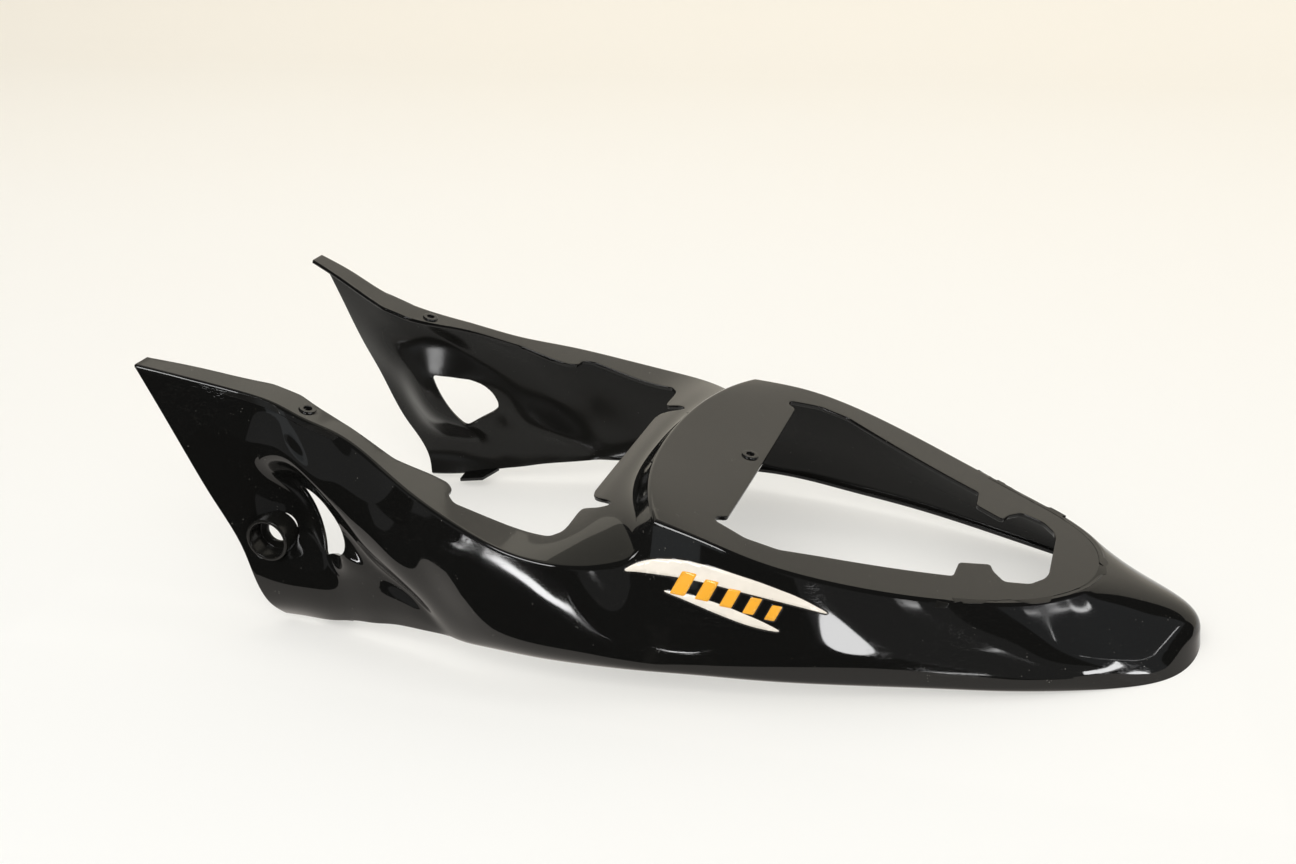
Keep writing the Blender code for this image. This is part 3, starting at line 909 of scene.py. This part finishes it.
@dataclass(frozen=True)
class Finish:
    """A surface with the dust, hair scratches and smudges of use.

    Attributes:
        name: The material's name.
        colour: Of the clean surface.
        wear: Amounts of specks, scratches and smudges.
        roughness: Where it is clean.
        hazy: Roughness where it is smudged.
        dusty: Colour of the dust and smudges.
        ior: Its index of refraction.
    """

    name: str
    colour: Point
    wear: Point
    roughness: float
    hazy: float
    dusty: Point
    ior: float

    def material(self, effects: Effects) -> bpy.types.Material:
        """Make the material.

        Args:
            effects: The groups that the finishes share.

        Returns:
            The material.
        """
        made, graph, shader = start_material(self.name)
        worn = graph.group(effects.wear, **dict(zip(("Specks", "Scratches", "Smudges"), self.wear)))
        colour = graph.blend(worn.outputs["Dirt"], self.clean(graph), self.dusty)
        rough = graph.within(worn.outputs["Haze"], 0.0, 1.0, self.roughness, self.hazy)
        more = self.relief(graph, worn, effects)
        graph.feed(shader, Base_Color=colour, Roughness=rough, IOR=self.ior, **more)
        return made

    def clean(self, graph: Graph) -> object:
        """The colour where it is clean."""
        return self.colour

    def relief(self, graph: Graph, worn: bpy.types.Node, effects: Effects) -> dict[str, object]:
        """The shader's inputs for a fine relief, where the surface has any."""
        return {}


@dataclass(frozen=True)
class GlossBlack(Finish):
    """High gloss black of the outer faces and the edges."""

    name: str = "gloss_black"
    colour: Point = (0.0055, 0.0055, 0.0052)
    wear: Point = (0.55, 0.5, 0.6)
    roughness: float = 0.045
    hazy: float = 0.34
    dusty: Point = (0.16, 0.155, 0.14)
    ior: float = 1.4

    def relief(self, graph: Graph, worn: bpy.types.Node, effects: Effects) -> dict[str, object]:
        """Specks stand proud and scratches are sunk."""
        return {"Normal": graph.bump(worn.outputs["Relief"], 0.05)}


@dataclass(frozen=True)
class MouldedBlack(Finish):
    """The inner face as it leaves the mould: black with a dull sheen and a fine grain."""

    name: str = "moulded_black"
    colour: Point = (0.009, 0.0088, 0.008)
    wear: Point = (0.5, 0.2, 1.0)
    roughness: float = 0.2
    hazy: float = 0.5
    dusty: Point = (0.05, 0.048, 0.042)
    ior: float = 1.3
    grain_scale: float = 900.0

    def relief(self, graph: Graph, worn: bpy.types.Node, effects: Effects) -> dict[str, object]:
        """The moulded grain."""
        grained = graph.group(effects.grain, Scale=self.grain_scale)
        return {"Normal": graph.bump(grained.outputs["Height"], 0.12)}


@dataclass(frozen=True)
class Printed(Finish):
    """A printed colour under a clear film, faded in places."""

    wear: Point = (0.5, 0.8, 0.8)
    roughness: float = 0.16
    hazy: float = 0.4
    dusty: Point = (0.2, 0.19, 0.17)
    ior: float = 1.45
    fading: float = 0.8

    def clean(self, graph: Graph) -> object:
        """The ink, uneven between fresh and faded."""
        uneven = graph.noise(graph.place(), 90.0, Detail=3.0)
        return graph.blend(uneven, self.colour, tuple(value * self.fading for value in self.colour))


class Effects:
    """The node groups that the finishes share."""

    def __init__(self) -> None:
        """Build the groups."""
        self.wear = self._wear()
        self.grain = self._grain()

    @staticmethod
    def _wear() -> bpy.types.NodeTree:
        """Specks of dust, hair scratches and smudges."""
        inputs = {"Specks": 0.5, "Scratches": 0.5, "Smudges": 0.5}
        group = Group("panel_wear", inputs, ("Dirt", "Haze", "Relief"))
        graph = Graph(group.tree)
        given = group.source.outputs
        place = graph.place()
        grains = graph.feed(graph.node("TexVoronoi"), Vector=place, Scale=420.0, Randomness=1.0)
        size = graph.noise(place, 130.0, Detail=1.0)
        near = graph.math("SUBTRACT", graph.within(size, 0.56, 0.74, 0.0, 0.2), grains.outputs["Distance"])
        speck = graph.math("MULTIPLY", graph.within(near, 0.0, 0.05), given["Specks"])
        hairs = []
        for turn, stretch in ((0.5, (9.0, 260.0, 260.0)), (-0.9, (14.0, 300.0, 300.0))):
            turned = graph.node("Mapping")
            graph.feed(turned, Vector=place, Rotation=(0.3, turn, 0.2), Scale=stretch)
            line = graph.noise(turned.outputs[0], 1.0, Detail=2.0, Roughness=0.4)
            off = graph.math("ABSOLUTE", graph.math("SUBTRACT", line, 0.5))
            hairs.append(graph.within(off, 0.0, 0.006, 1.0, 0.0))
        some = graph.within(graph.noise(place, 14.0, Detail=2.0), 0.5, 0.68)
        hair = graph.math("MULTIPLY", graph.math("MAXIMUM", hairs[0], hairs[1]), some)
        hair = graph.math("MULTIPLY", hair, given["Scratches"])
        patch = graph.within(graph.noise(place, 24.0, Detail=4.0, Roughness=0.62), 0.6, 0.78)
        smudge = graph.math("MULTIPLY", patch, given["Smudges"])
        for mask, shares in (("Dirt", (0.06, 0.1)), ("Haze", (0.3, 0.25))):
            total = speck
            for mark, share in zip((smudge, hair), shares):
                total = graph.math("MAXIMUM", total, graph.math("MULTIPLY", mark, share))
            graph.join(total, group.sink.inputs[mask])
        graph.join(graph.math("SUBTRACT", speck, hair), group.sink.inputs["Relief"])
        return group.tree

    @staticmethod
    def _grain() -> bpy.types.NodeTree:
        """The fine grain of a moulded face."""
        group = Group("moulded_grain", {"Scale": 900.0}, ("Height",))
        graph = Graph(group.tree)
        place = graph.place()
        fine = graph.noise(place, group.source.outputs["Scale"], Detail=2.0)
        wave = graph.noise(place, 60.0, Detail=3.0)
        graph.join(graph.math("ADD", fine, graph.math("MULTIPLY", wave, 1.5)), group.sink.inputs["Height"])
        return group.tree


@dataclass
class Fairing:
    """The whole moulding: skin, lock bush, screw bosses, wing tabs and the printed film on the left."""

    shell: Shell = field(default_factory=Shell)
    openings: Openings = field(default_factory=Openings)
    lock: Lock = field(default_factory=Lock)
    boss: Boss = field(default_factory=Boss)
    tab: WingTab = field(default_factory=WingTab)
    decal: Decal = field(default_factory=Decal)
    pitch: float = 1.8
    film_pitch: float = 1.4
    seat_round: float = 3.2
    opening_round: float = 3.0
    crease_round: float = 1.9
    rim_round: float = 0.55
    sharp_angle: float = 50.0
    tab_round: float = 0.7

    def __post_init__(self) -> None:
        """Lay out the side and the top skin."""
        side = self.shell.side_grid()
        self.crease = side[:, 0]
        self.top = Sheet(self.shell.top_grid(self.crease), (2.8, 3.2))
        self.side = Sheet(side, (2.8, 2.8), axes=(0, 2))

    def _outline(self, outline: Outline, radius: float) -> np.ndarray:
        """Round an outline and split its stretches."""
        return refined(rounded(outline, radius), self.pitch)

    @staticmethod
    def circle(x: float, y: float, radius: float, steps: int = 40) -> np.ndarray:
        """A circle as an outline."""
        turn = np.linspace(0, 2 * math.pi, steps, endpoint=False)
        return np.stack([x + radius * np.cos(turn), y + radius * np.sin(turn)], axis=1)

    def boss_y(self) -> float:
        """How far the flange bosses are from the middle plane."""
        return self.openings.beside(self.crease, self.boss.flange_x) - self.boss.flange_inset

    def skin(self, outside: bpy.types.Material, inside: bpy.types.Material) -> bpy.types.Object:
        """Build the skin of both sides with its wall.

        Args:
            outside: The finish of the outer and rim faces.
            inside: The finish of the inner faces.

        Returns:
            The skin.
        """
        hole = (self.boss.outer + self.boss.bore) / 2
        outlines = (
            self._outline(self.openings.seat(self.crease), self.seat_round),
            self._outline(self.openings.window(self.crease), self.opening_round),
            self.circle(self.boss.flange_x, self.boss_y(), hole),
            self.circle(self.boss.deck_x, 0.0, hole),
        )
        self.top.holes = [self.top.locate(outline) for outline in outlines]
        scoop = self.side.locate(self._outline(list(self.openings.scoop), self.opening_round))
        hub = self.lock.outer - self.lock.overlap
        lock = self.side.locate(self.circle(self.lock.x, self.lock.z, hub, 64))
        top_points, top_faces = self.top.cut()
        built = bmesh.new()
        for side in Side:
            self.side.holes = [scoop, lock] if side is Side.LEFT else [scoop]
            side_points, side_faces = self.side.cut()
            self._add(built, side_points, side_faces, side, side is Side.RIGHT)
            self._add(built, top_points, top_faces, side, side is Side.LEFT)
        bmesh.ops.remove_doubles(built, verts=built.verts, dist=MERGE_DISTANCE)
        bmesh.ops.dissolve_degenerate(built, edges=built.edges, dist=2 * MERGE_DISTANCE)
        loose = [v for v in built.verts if not v.link_faces]
        bmesh.ops.delete(built, geom=loose, context="VERTS")
        self._mark_creases(built)
        made = from_built("skin", built)
        made.data.materials.append(outside)
        made.data.materials.append(inside)
        self._finish_wall(made)
        return made

    @staticmethod
    def _add(
        built: bmesh.types.BMesh, points: np.ndarray, faces: list[tuple[int, ...]], side: Side, flip: bool
    ) -> None:
        """Add one sheet to the mesh, on the given side."""
        moved = (points * (1, side.value, 1) - (CENTRE_X, 0, 0)) * MM
        verts = [built.verts.new(tuple(p)) for p in moved]
        for face in faces:
            corners = [verts[i] for i in (reversed(face) if flip else face)]
            built.faces.new(corners)

    def _mark_creases(self, built: bmesh.types.BMesh) -> None:
        """Give the crease and the deck's front line their rounding."""
        knots, at, _ = self.shell.guides()
        corner = int(np.abs(at - knots[self.shell.deck_corner]).argmin())
        lines = [self.crease, self.top.grid[corner]]
        weight = built.edges.layers.float.new("bevel_weight_edge")
        for line in lines:
            places = {self._key((p * (1, s, 1) - (CENTRE_X, 0, 0)) * MM) for p in line for s in (-1, 1)}
            near = {v for v in built.verts if self._key(v.co) in places}
            for edge in built.edges:
                if edge.verts[0] in near and edge.verts[1] in near and not edge.is_boundary:
                    edge[weight] = 1.0

    @staticmethod
    def _key(point: Point) -> tuple[int, ...]:
        """A place rounded to a fiftieth of a millimetre."""
        return tuple(round(value * KEYS_PER_METRE) for value in point)

    def _finish_wall(self, skin: bpy.types.Object) -> None:
        """Round the creases, give the skin its wall and soften its rims."""
        widths = (self.crease_round, self.rim_round)
        crease, rim = ({"width": width * MM, "use_clamp_overlap": False} for width in widths)
        modify(skin, "crease", "BEVEL", limit_method="WEIGHT", segments=3, **crease)
        wall = self.shell.wall * MM
        modify(skin, "wall", "SOLIDIFY", thickness=wall, offset=-1, material_offset=1, material_offset_rim=0)
        sharp = math.radians(self.sharp_angle)
        modify(skin, "rim", "BEVEL", limit_method="ANGLE", angle_limit=sharp, segments=2, **rim)
        solid = skin.evaluated_get(bpy.context.evaluated_depsgraph_get())
        skin.data = bpy.data.meshes.new_from_object(solid)
        skin.modifiers.clear()
        for vertex in skin.data.vertices:
            vertex.co.z = max(vertex.co.z, 0.0)
        modify(skin, "shade", "WEIGHTED_NORMAL", keep_sharp=True)

    def bush(self) -> bpy.types.Object:
        """Turn the lock's bush in the left wing."""
        lock = self.lock
        back = -lock.depth - self.shell.wall
        profile = [
            (lock.outer, back), (lock.outer, 0.0), (lock.counterbore, 0.0),
            (lock.counterbore, -lock.depth), (lock.bore, -lock.depth), (lock.bore, back),
        ]
        ring = Lathe(mitred(profile, 0.9, 4))
        return ring.make("lock_bush", (lock.x, -lock.rim, lock.z), (0, -1, 0))

    def bosses(self) -> list[bpy.types.Object]:
        """Turn the three screw bosses, each square to the skin under it."""
        boss = self.boss
        profile = [
            (boss.outer + 0.7, -0.12), (boss.outer, 0.25), (boss.outer - 0.15, boss.rise),
            (boss.bore, boss.rise), (boss.bore, -self.shell.wall), (boss.outer - 0.6, -self.shell.wall),
        ]
        ring = Lathe(mitred(profile, 0.4), 64)
        places = [
            ("left_boss", boss.flange_x, -self.boss_y()),
            ("right_boss", boss.flange_x, self.boss_y()),
            ("deck_boss", boss.deck_x, 0.0),
        ]
        made = []
        for name, x, y in places:
            where = self.top.locate(np.array([[x, abs(y)]]))
            foot = self.top.at(where)[0]
            steps = np.array([[0.5, 0.0], [-0.5, 0.0], [0.0, 0.5], [0.0, -0.5]])
            near = self.top.at(where + steps)
            up = np.cross(near[0] - near[1], near[3] - near[2])
            side = 1.0 if y > 0 else -1.0
            axis = (up[0], up[1] * side if y else 0.0, up[2])
            made.append(ring.make(name, (foot[0], y, foot[2]), axis))
        return made

    def decal_films(self) -> list[bpy.types.Object]:
        """Lay the printed films on the left side, one layer for each colour."""
        made = []
        for layer, (ink, outlines) in enumerate(self.decal.outlines().items()):
            built = bmesh.new()
            for outline in outlines:
                where = self.side.locate(refined(outline, self.film_pitch))
                points, faces = self.side.film(where, self.decal.film * (layer + 1))
                self._add(built, points, faces, Side.LEFT, False)
            bmesh.ops.recalc_face_normals(built, faces=built.faces)
            for face in built.faces:
                if face.normal.y > 0:
                    face.normal_flip()
            film = from_built(f"decal_{ink.name.lower()}", built)
            modify(film, "film", "SOLIDIFY", thickness=self.decal.film * MM * (layer + 1.5), offset=-1)
            made.append(film)
        return made

    def wing_tabs(self) -> list[bpy.types.Object]:
        """Build the flat tab that each wing's lip turns in to."""
        tab = self.tab
        lip = np.array([section[3] for section in self.shell.sections], float)
        root = [float(np.interp(x, lip[:, 0], lip[:, 1])) - tab.tuck for x in tab.root]
        inner = root[0] - tab.narrowing - tab.reach
        plan = list(zip((*tab.root, *reversed(tab.tip)), (*root, inner, inner)))
        made = []
        for name, side in (("left_tab", Side.LEFT), ("right_tab", Side.RIGHT)):
            points = [
                (x, y * side.value, tab.start + (x - tab.root[0]) * tab.slope + rise)
                for rise in (0.0, tab.wall)
                for x, y in plan
            ]
            faces = [(0, 1, 2, 3), (7, 6, 5, 4)]
            faces += [(i, i + 4, (i + 1) % 4 + 4, (i + 1) % 4) for i in range(4)]
            if side is Side.RIGHT:
                faces = [tuple(reversed(face)) for face in faces]
            plate = to_object(name, np.array(points), faces)
            modify(plate, "edge", "BEVEL", width=self.tab_round * MM, segments=3)
            modify(plate, "shade", "WEIGHTED_NORMAL")
            made.append(plate)
        return made


@dataclass
class Lamp:
    """An area lamp.

    Attributes:
        place: Its centre in metres.
        target: What it faces.
        size: Its width and height.
        glow: How bright its face is.
        colour: Of its light.
        round: Whether it is an ellipse.
        fills: Whether it lights matt surfaces, unseen by gloss ones, in place of showing only in gloss.
    """

    name: str
    place: Point
    target: Point
    size: Point
    glow: float
    colour: Point = (1.0, 1.0, 1.0)
    round: bool = False
    fills: bool = False

    def make(self) -> bpy.types.Object:
        """Hang the lamp."""
        data = bpy.data.lights.new(self.name, "AREA")
        data.shape = "ELLIPSE" if self.round else "RECTANGLE"
        data.size, data.size_y = self.size
        area = data.size * data.size_y * (math.pi / 4 if self.round else 1.0)
        data.energy = self.glow * math.pi * area
        data.color = self.colour
        lamp = linked(self.name, data)
        way = Vector(self.target) - Vector(self.place)
        lamp.location = self.place
        lamp.rotation_euler = way.to_track_quat("-Z", "Y").to_euler()
        lamp.visible_camera = False
        lamp.visible_glossy = not self.fills
        lamp.visible_diffuse = self.fills
        return lamp


def lay_strip(name: str, points: list[Point], finish: bpy.types.Material) -> bpy.types.Object:
    """Lay a smooth strip of faces between two long edges.

    Args:
        name: Its name.
        points: One on each long edge in turn, from end to end.
        finish: Its material.

    Returns:
        The strip.
    """
    mesh = bpy.data.meshes.new(name)
    mesh.from_pydata(points, [], [(i, i + 1, i + 3, i + 2) for i in range(0, len(points) - 2, 2)])
    mesh.shade_smooth()
    mesh.materials.append(finish)
    made = linked(name, mesh)
    return made


@dataclass(frozen=True)
class Reflector:
    """A glowing ribbon or card that only gloss faces show.

    Attributes:
        name: Its name.
        glow: How bright it is; 0 for a black one.
        edges: The x, y and z of a point on one long edge and of its partner on the other, from end to end.
        colour: Of its light.
    """

    name: str
    glow: float
    edges: tuple[Point, ...]
    colour: Point = (1.0, 1.0, 1.0)

    def make(self) -> bpy.types.Object:
        """Stretch the ribbon between its edges."""
        lit, graph, plain = start_material(self.name)
        lit.node_tree.nodes.remove(plain)
        graph.surface(graph.feed(graph.node("Emission"), Color=(*self.colour, 1.0), Strength=self.glow))
        made = lay_strip(self.name, [point for row in self.edges for point in (row[:3], row[3:])], lit)
        for ray in ("camera", "diffuse", "transmission", "volume_scatter", "shadow"):
            setattr(made, f"visible_{ray}", False)
        return made


FILL_COLOUR: Point = (1.0, 0.99, 0.97)
PAPER_GLOW: Point = (1.0, 0.94, 0.87)
SKIRT_TOP = 0.0125
TAIL_SKIRT: tuple[Point, ...] = (
    (0.2776, -0.0906), (0.2916, -0.0847), (0.3049, -0.0778), (0.318, -0.0695), (0.3301, -0.0593),
    (0.3401, -0.0468), (0.3476, -0.0323), (0.3526, -0.0165), (0.3543, 0.0),
)
REFLECTORS: tuple[Reflector, ...] = (
    Reflector("shoulder_ribbon", 32.0, (
        (-1.106, -1.112, -0.116, -1.097, -1.12, -0.122), (-1.068, -1.136, -0.158, -1.056, -1.147, -0.167),
        (-0.975, -1.196, -0.225, -0.956, -1.209, -0.241), (-0.911, -1.236, -0.258, -0.893, -1.246, -0.275),
        (-0.796, -1.3, -0.297, -0.776, -1.305, -0.325), (-0.607, -1.383, -0.343, -0.611, -1.372, -0.376),
        (-0.382, -1.452, -0.367, -0.418, -1.426, -0.42), (-0.279, -1.474, -0.372, -0.322, -1.448, -0.425),
        (-0.181, -1.49, -0.363, -0.224, -1.471, -0.41), (-0.07, -1.509, -0.329, -0.131, -1.491, -0.382),
        (0.035, -1.522, -0.28, -0.039, -1.51, -0.335), (0.1, -1.53, -0.23, 0.085, -1.528, -0.243),
    )),
    Reflector("tail_ribbon", 26.0, (
        (1.44, -0.002, 0.818, 1.45, 0.0, 0.815), (1.488, -0.159, 0.743, 1.517, -0.128, 0.705),
        (1.52, -0.398, 0.601, 1.565, -0.4, 0.505), (1.499, -0.602, 0.478, 1.53, -0.691, 0.224),
        (1.42, -0.822, 0.349, 1.422, -0.871, 0.191),
    )),
    Reflector("fore_ribbon", 13.0, (
        (1.138, -1.038, 0.465, 1.129, -1.05, 0.458), (1.16, -1.003, 0.494, 1.148, -1.022, 0.484),
        (1.176, -0.972, 0.523, 1.159, -0.999, 0.509), (1.192, -0.935, 0.56, 1.175, -0.964, 0.547),
    )),
    Reflector("aft_ribbon", 14.0, (
        (1.311, -0.27, 0.93, 1.315, -0.274, 0.925), (1.364, -0.131, 0.893, 1.362, -0.141, 0.895),
        (1.409, 0.018, 0.839, 1.398, -0.014, 0.855), (1.435, 0.184, 0.779, 1.429, 0.151, 0.796),
        (1.404, 0.383, 0.755, 1.405, 0.338, 0.778),
    )),
    Reflector("low_ribbon", 18.0, (
        (0.888, -1.28, -0.327, 0.885, -1.278, -0.34), (0.919, -1.283, -0.251, 0.906, -1.279, -0.301),
        (0.953, -1.277, -0.191, 0.942, -1.276, -0.233), (1.0, -1.26, -0.12, 0.991, -1.261, -0.157),
        (1.05, -1.234, -0.053, 1.045, -1.237, -0.079),
    )),
    Reflector("near_paper", 1.0, (
        (-0.45, -0.2, 0.0008, -0.45, -0.1, 0.0008), (-0.1, -0.2, 0.0008, -0.1, -0.12, 0.0008),
        (0.15, -0.2, 0.0008, 0.15, -0.12, 0.0008), (0.28, -0.2, 0.0008, 0.28, -0.075, 0.0008),
        (0.4, -0.2, 0.0008, 0.36, 0.0, 0.0008),
    ), PAPER_GLOW),
    Reflector("wing_paper", 1.0, (
        (-0.37, -0.2, 0.0, -0.37, -0.2, 0.03), (-0.185, -0.2, 0.0, -0.185, -0.2, 0.03),
    ), PAPER_GLOW),
    Reflector("wing_flag", 0.0, (
        (-0.37, -0.2, 0.03, -0.37, -0.2, 0.125), (-0.235, -0.2, 0.03, -0.235, -0.2, 0.125),
    )),
    Reflector("tail_paper", 1.0, tuple((*p, 0.0, *p, SKIRT_TOP) for p in TAIL_SKIRT), PAPER_GLOW),
)


@dataclass(frozen=True)
class Viewpoint:
    """Where the fairing is looked at from, in metres, with the lens in millimetres."""

    place: Point = (0.30615, -0.97953, 0.55178)
    right: Point = (0.950257, 0.309017, -0.038997)
    up: Point = (-0.086342, 0.381644, 0.920268)
    lens: float = 44.444
    sensor: float = 36.0
    far: float = 50.0

    def make(self) -> None:
        """Set up the camera."""
        data = bpy.data.cameras.new("camera")
        data.lens = self.lens
        data.sensor_width = self.sensor
        data.sensor_fit = "HORIZONTAL"
        data.clip_end = self.far
        camera = linked("camera", data)
        right, up = Vector(self.right), Vector(self.up)
        turned = Matrix((right, up, right.cross(up))).transposed().to_4x4()
        camera.matrix_world = Matrix.Translation(self.place) @ turned
        bpy.context.scene.camera = camera
        bpy.context.scene.view_settings.view_transform = "Standard"


@dataclass
class Studio:
    """Floor, backdrop, lamps and camera.

    Attributes:
        pale_floor: What the camera and gloss faces see of the floor, in the share of shadow_lift.
        pale_wall: The same of the wall.
        paper_front: The y of the paper's front edge.
        paper_break: The y where gloss faces begin to mirror it.
        bend_start: The y where it begins to curve up.
    """

    floor_colour: Point = (0.83, 0.83, 0.815)
    wall_colour: Point = (0.83, 0.78, 0.695)
    pale_floor: Point = (0.985, 0.985, 0.96)
    pale_wall: Point = (0.985, 0.93, 0.8)
    shadow_lift: float = 0.5
    paper_front: float = -0.52
    paper_break: float = -0.2
    paper_half_width: float = 4.5
    bend_start: float = 1.9
    bend_radius: float = 0.6
    bend_steps: int = 12
    wall_top: float = 2.6
    lamps: tuple[Lamp, ...] = (
        Lamp("overhead", (0.0, 0.6, 3.0), (0.0, 0.3, 0.0), (5.0, 4.0), 0.40, FILL_COLOUR, fills=True),
        Lamp("front_fill", (0.1, -1.7, 1.7), (0.0, 0.0, 0.0), (2.4, 1.2), 3.4, FILL_COLOUR, fills=True),
        Lamp("wall_wash", (0.0, 0.4, 2.2), (0.0, 2.4, 0.9), (5.6, 0.6), 3.0, (1.0, 0.98, 0.94), fills=True),
        Lamp("right_card", (1.87, -1.9, 0.6), (0.1, -0.13, 0.1), (2.4, 1.5), 0.22),
        Lamp("left_card", (-1.9, -1.6, 0.75), (-0.1, -0.13, 0.1), (1.6, 1.6), 0.25),
        Lamp("ceiling_card", (-0.9, 0.9, 2.0), (0.0, 0.0, 0.1), (2.4, 1.6), 0.6, (1.0, 0.95, 0.8)),
        Lamp("front_card", (-0.85, -2.2, 0.95), (0.05, -0.13, 0.1), (1.1, 0.8), 0.55, (0.88, 0.95, 1.0)),
        Lamp("high_card", (1.9, 0.1, 1.3), (0.25, -0.05, 0.05), (1.4, 0.7), 0.3, (0.9, 0.95, 1.0)),
        Lamp("softbox", (0.4, -0.66, 0.042), (0.14, -0.13, 0.047), (0.135, 0.15), 24.0, round=True),
        Lamp("near_softbox", (-0.136, -0.613, 0.713), (-0.1, -0.13, 0.13), (0.36, 0.3), 16.0),
    )
    reflectors: tuple[Reflector, ...] = REFLECTORS

    def build(self) -> None:
        """Set up the whole stage."""
        self._sweep()
        for source in (*self.lamps, *self.reflectors):
            source.make()
        self._world()
        Viewpoint().make()

    def _paper(self) -> bpy.types.Material:
        """A matt paper, a little warmer towards the back, with a faint unevenness and soft shadows."""
        made, graph, shader = start_material("warm_paper")
        place = graph.place()
        split = graph.feed(graph.node("SeparateXYZ"), Vector=place)
        back = graph.within(split.outputs["Y"], -0.4, 2.4)
        uneven = graph.within(graph.noise(place, 1.5, Detail=2.0), 0.3, 0.7, -0.08, 0.08)
        mixed = graph.blend(graph.math("ADD", back, uneven), self.floor_colour, self.wall_colour)
        graph.feed(shader, Base_Color=mixed, Roughness=0.9)
        pale = graph.blend(back, self.pale_floor, self.pale_wall)
        glow = graph.feed(graph.node("Emission"), Color=pale, Strength=1.0)
        path = graph.node("LightPath")
        shown = graph.math("ADD", path.outputs["Is Camera Ray"], path.outputs["Is Glossy Ray"])
        shown = graph.math("ADD", shown, path.outputs["Is Transmission Ray"])
        seen = graph.math("MULTIPLY", graph.math("MINIMUM", shown, 1.0), self.shadow_lift)
        graph.surface(graph.feed(graph.node("MixShader"), i0=seen, i1=shader.outputs[0], i2=glow.outputs[0]))
        return made

    def _sweep(self) -> None:
        """A paper sweep: the floor with a wall curving up behind. Gloss faces mirror none of its front."""
        rows = [(self.paper_break, 0.0), (0.0, 0.0), (self.bend_start, 0.0)]
        for step in range(1, self.bend_steps + 1):
            angle = step / self.bend_steps * math.pi / 2
            out, up = self.bend_radius * math.sin(angle), self.bend_radius * (1 - math.cos(angle))
            rows.append((self.bend_start + out, up))
        rows.append((self.bend_start + self.bend_radius, self.wall_top))
        paper = self._paper()
        self._strip("paper_sweep", rows, paper)
        front = self._strip("front_paper", [(self.paper_front, 0.0), (self.paper_break, 0.0)], paper)
        front.visible_glossy = False
        front.visible_shadow = False

    def _strip(self, name: str, rows: list[Point], paper: bpy.types.Material) -> bpy.types.Object:
        """Lay a wide strip of paper through these rows, as (y, z)."""
        across = (-self.paper_half_width, self.paper_half_width)
        return lay_strip(name, [(x, y, z) for y, z in rows for x in across], paper)

    @staticmethod
    def _world() -> None:
        """Warm light from all round, with a dark room for what gloss faces mirror."""
        world = bpy.data.worlds.new("room")
        world.use_nodes = True
        graph = Graph(world.node_tree)
        back = world.node_tree.nodes["Background"]
        path = graph.node("LightPath")
        colour = graph.blend(path.outputs["Is Glossy Ray"], (0.55, 0.54, 0.52), (0.02, 0.02, 0.021))
        graph.feed(back, Color=colour, Strength=1.0)
        bpy.context.scene.world = world


def main() -> None:
    """Build the fairing, its finishes and the studio round it."""
    logging.basicConfig(level=logging.INFO, format="%(message)s")
    Studio().build()
    effects = Effects()
    gloss = GlossBlack().material(effects)
    moulded = MouldedBlack().material(effects)
    fairing = Fairing()
    bush = fairing.bush()
    bush.data.materials.append(moulded)
    films = fairing.decal_films()
    for film, ink in zip(films, Ink):
        film.data.materials.append(Printed(f"printed_{ink.name.lower()}", ink.value).material(effects))
    pieces = [fairing.skin(gloss, moulded), bush, *fairing.bosses(), *fairing.wing_tabs(), *films]
    for piece in pieces:
        if not piece.data.materials:
            piece.data.materials.append(gloss)
        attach(piece, "root")
        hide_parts("tail_fairing")
        LOG.info("%s: %d points", piece.name, len(piece.data.vertices))


if __name__ == "__main__":
    main()
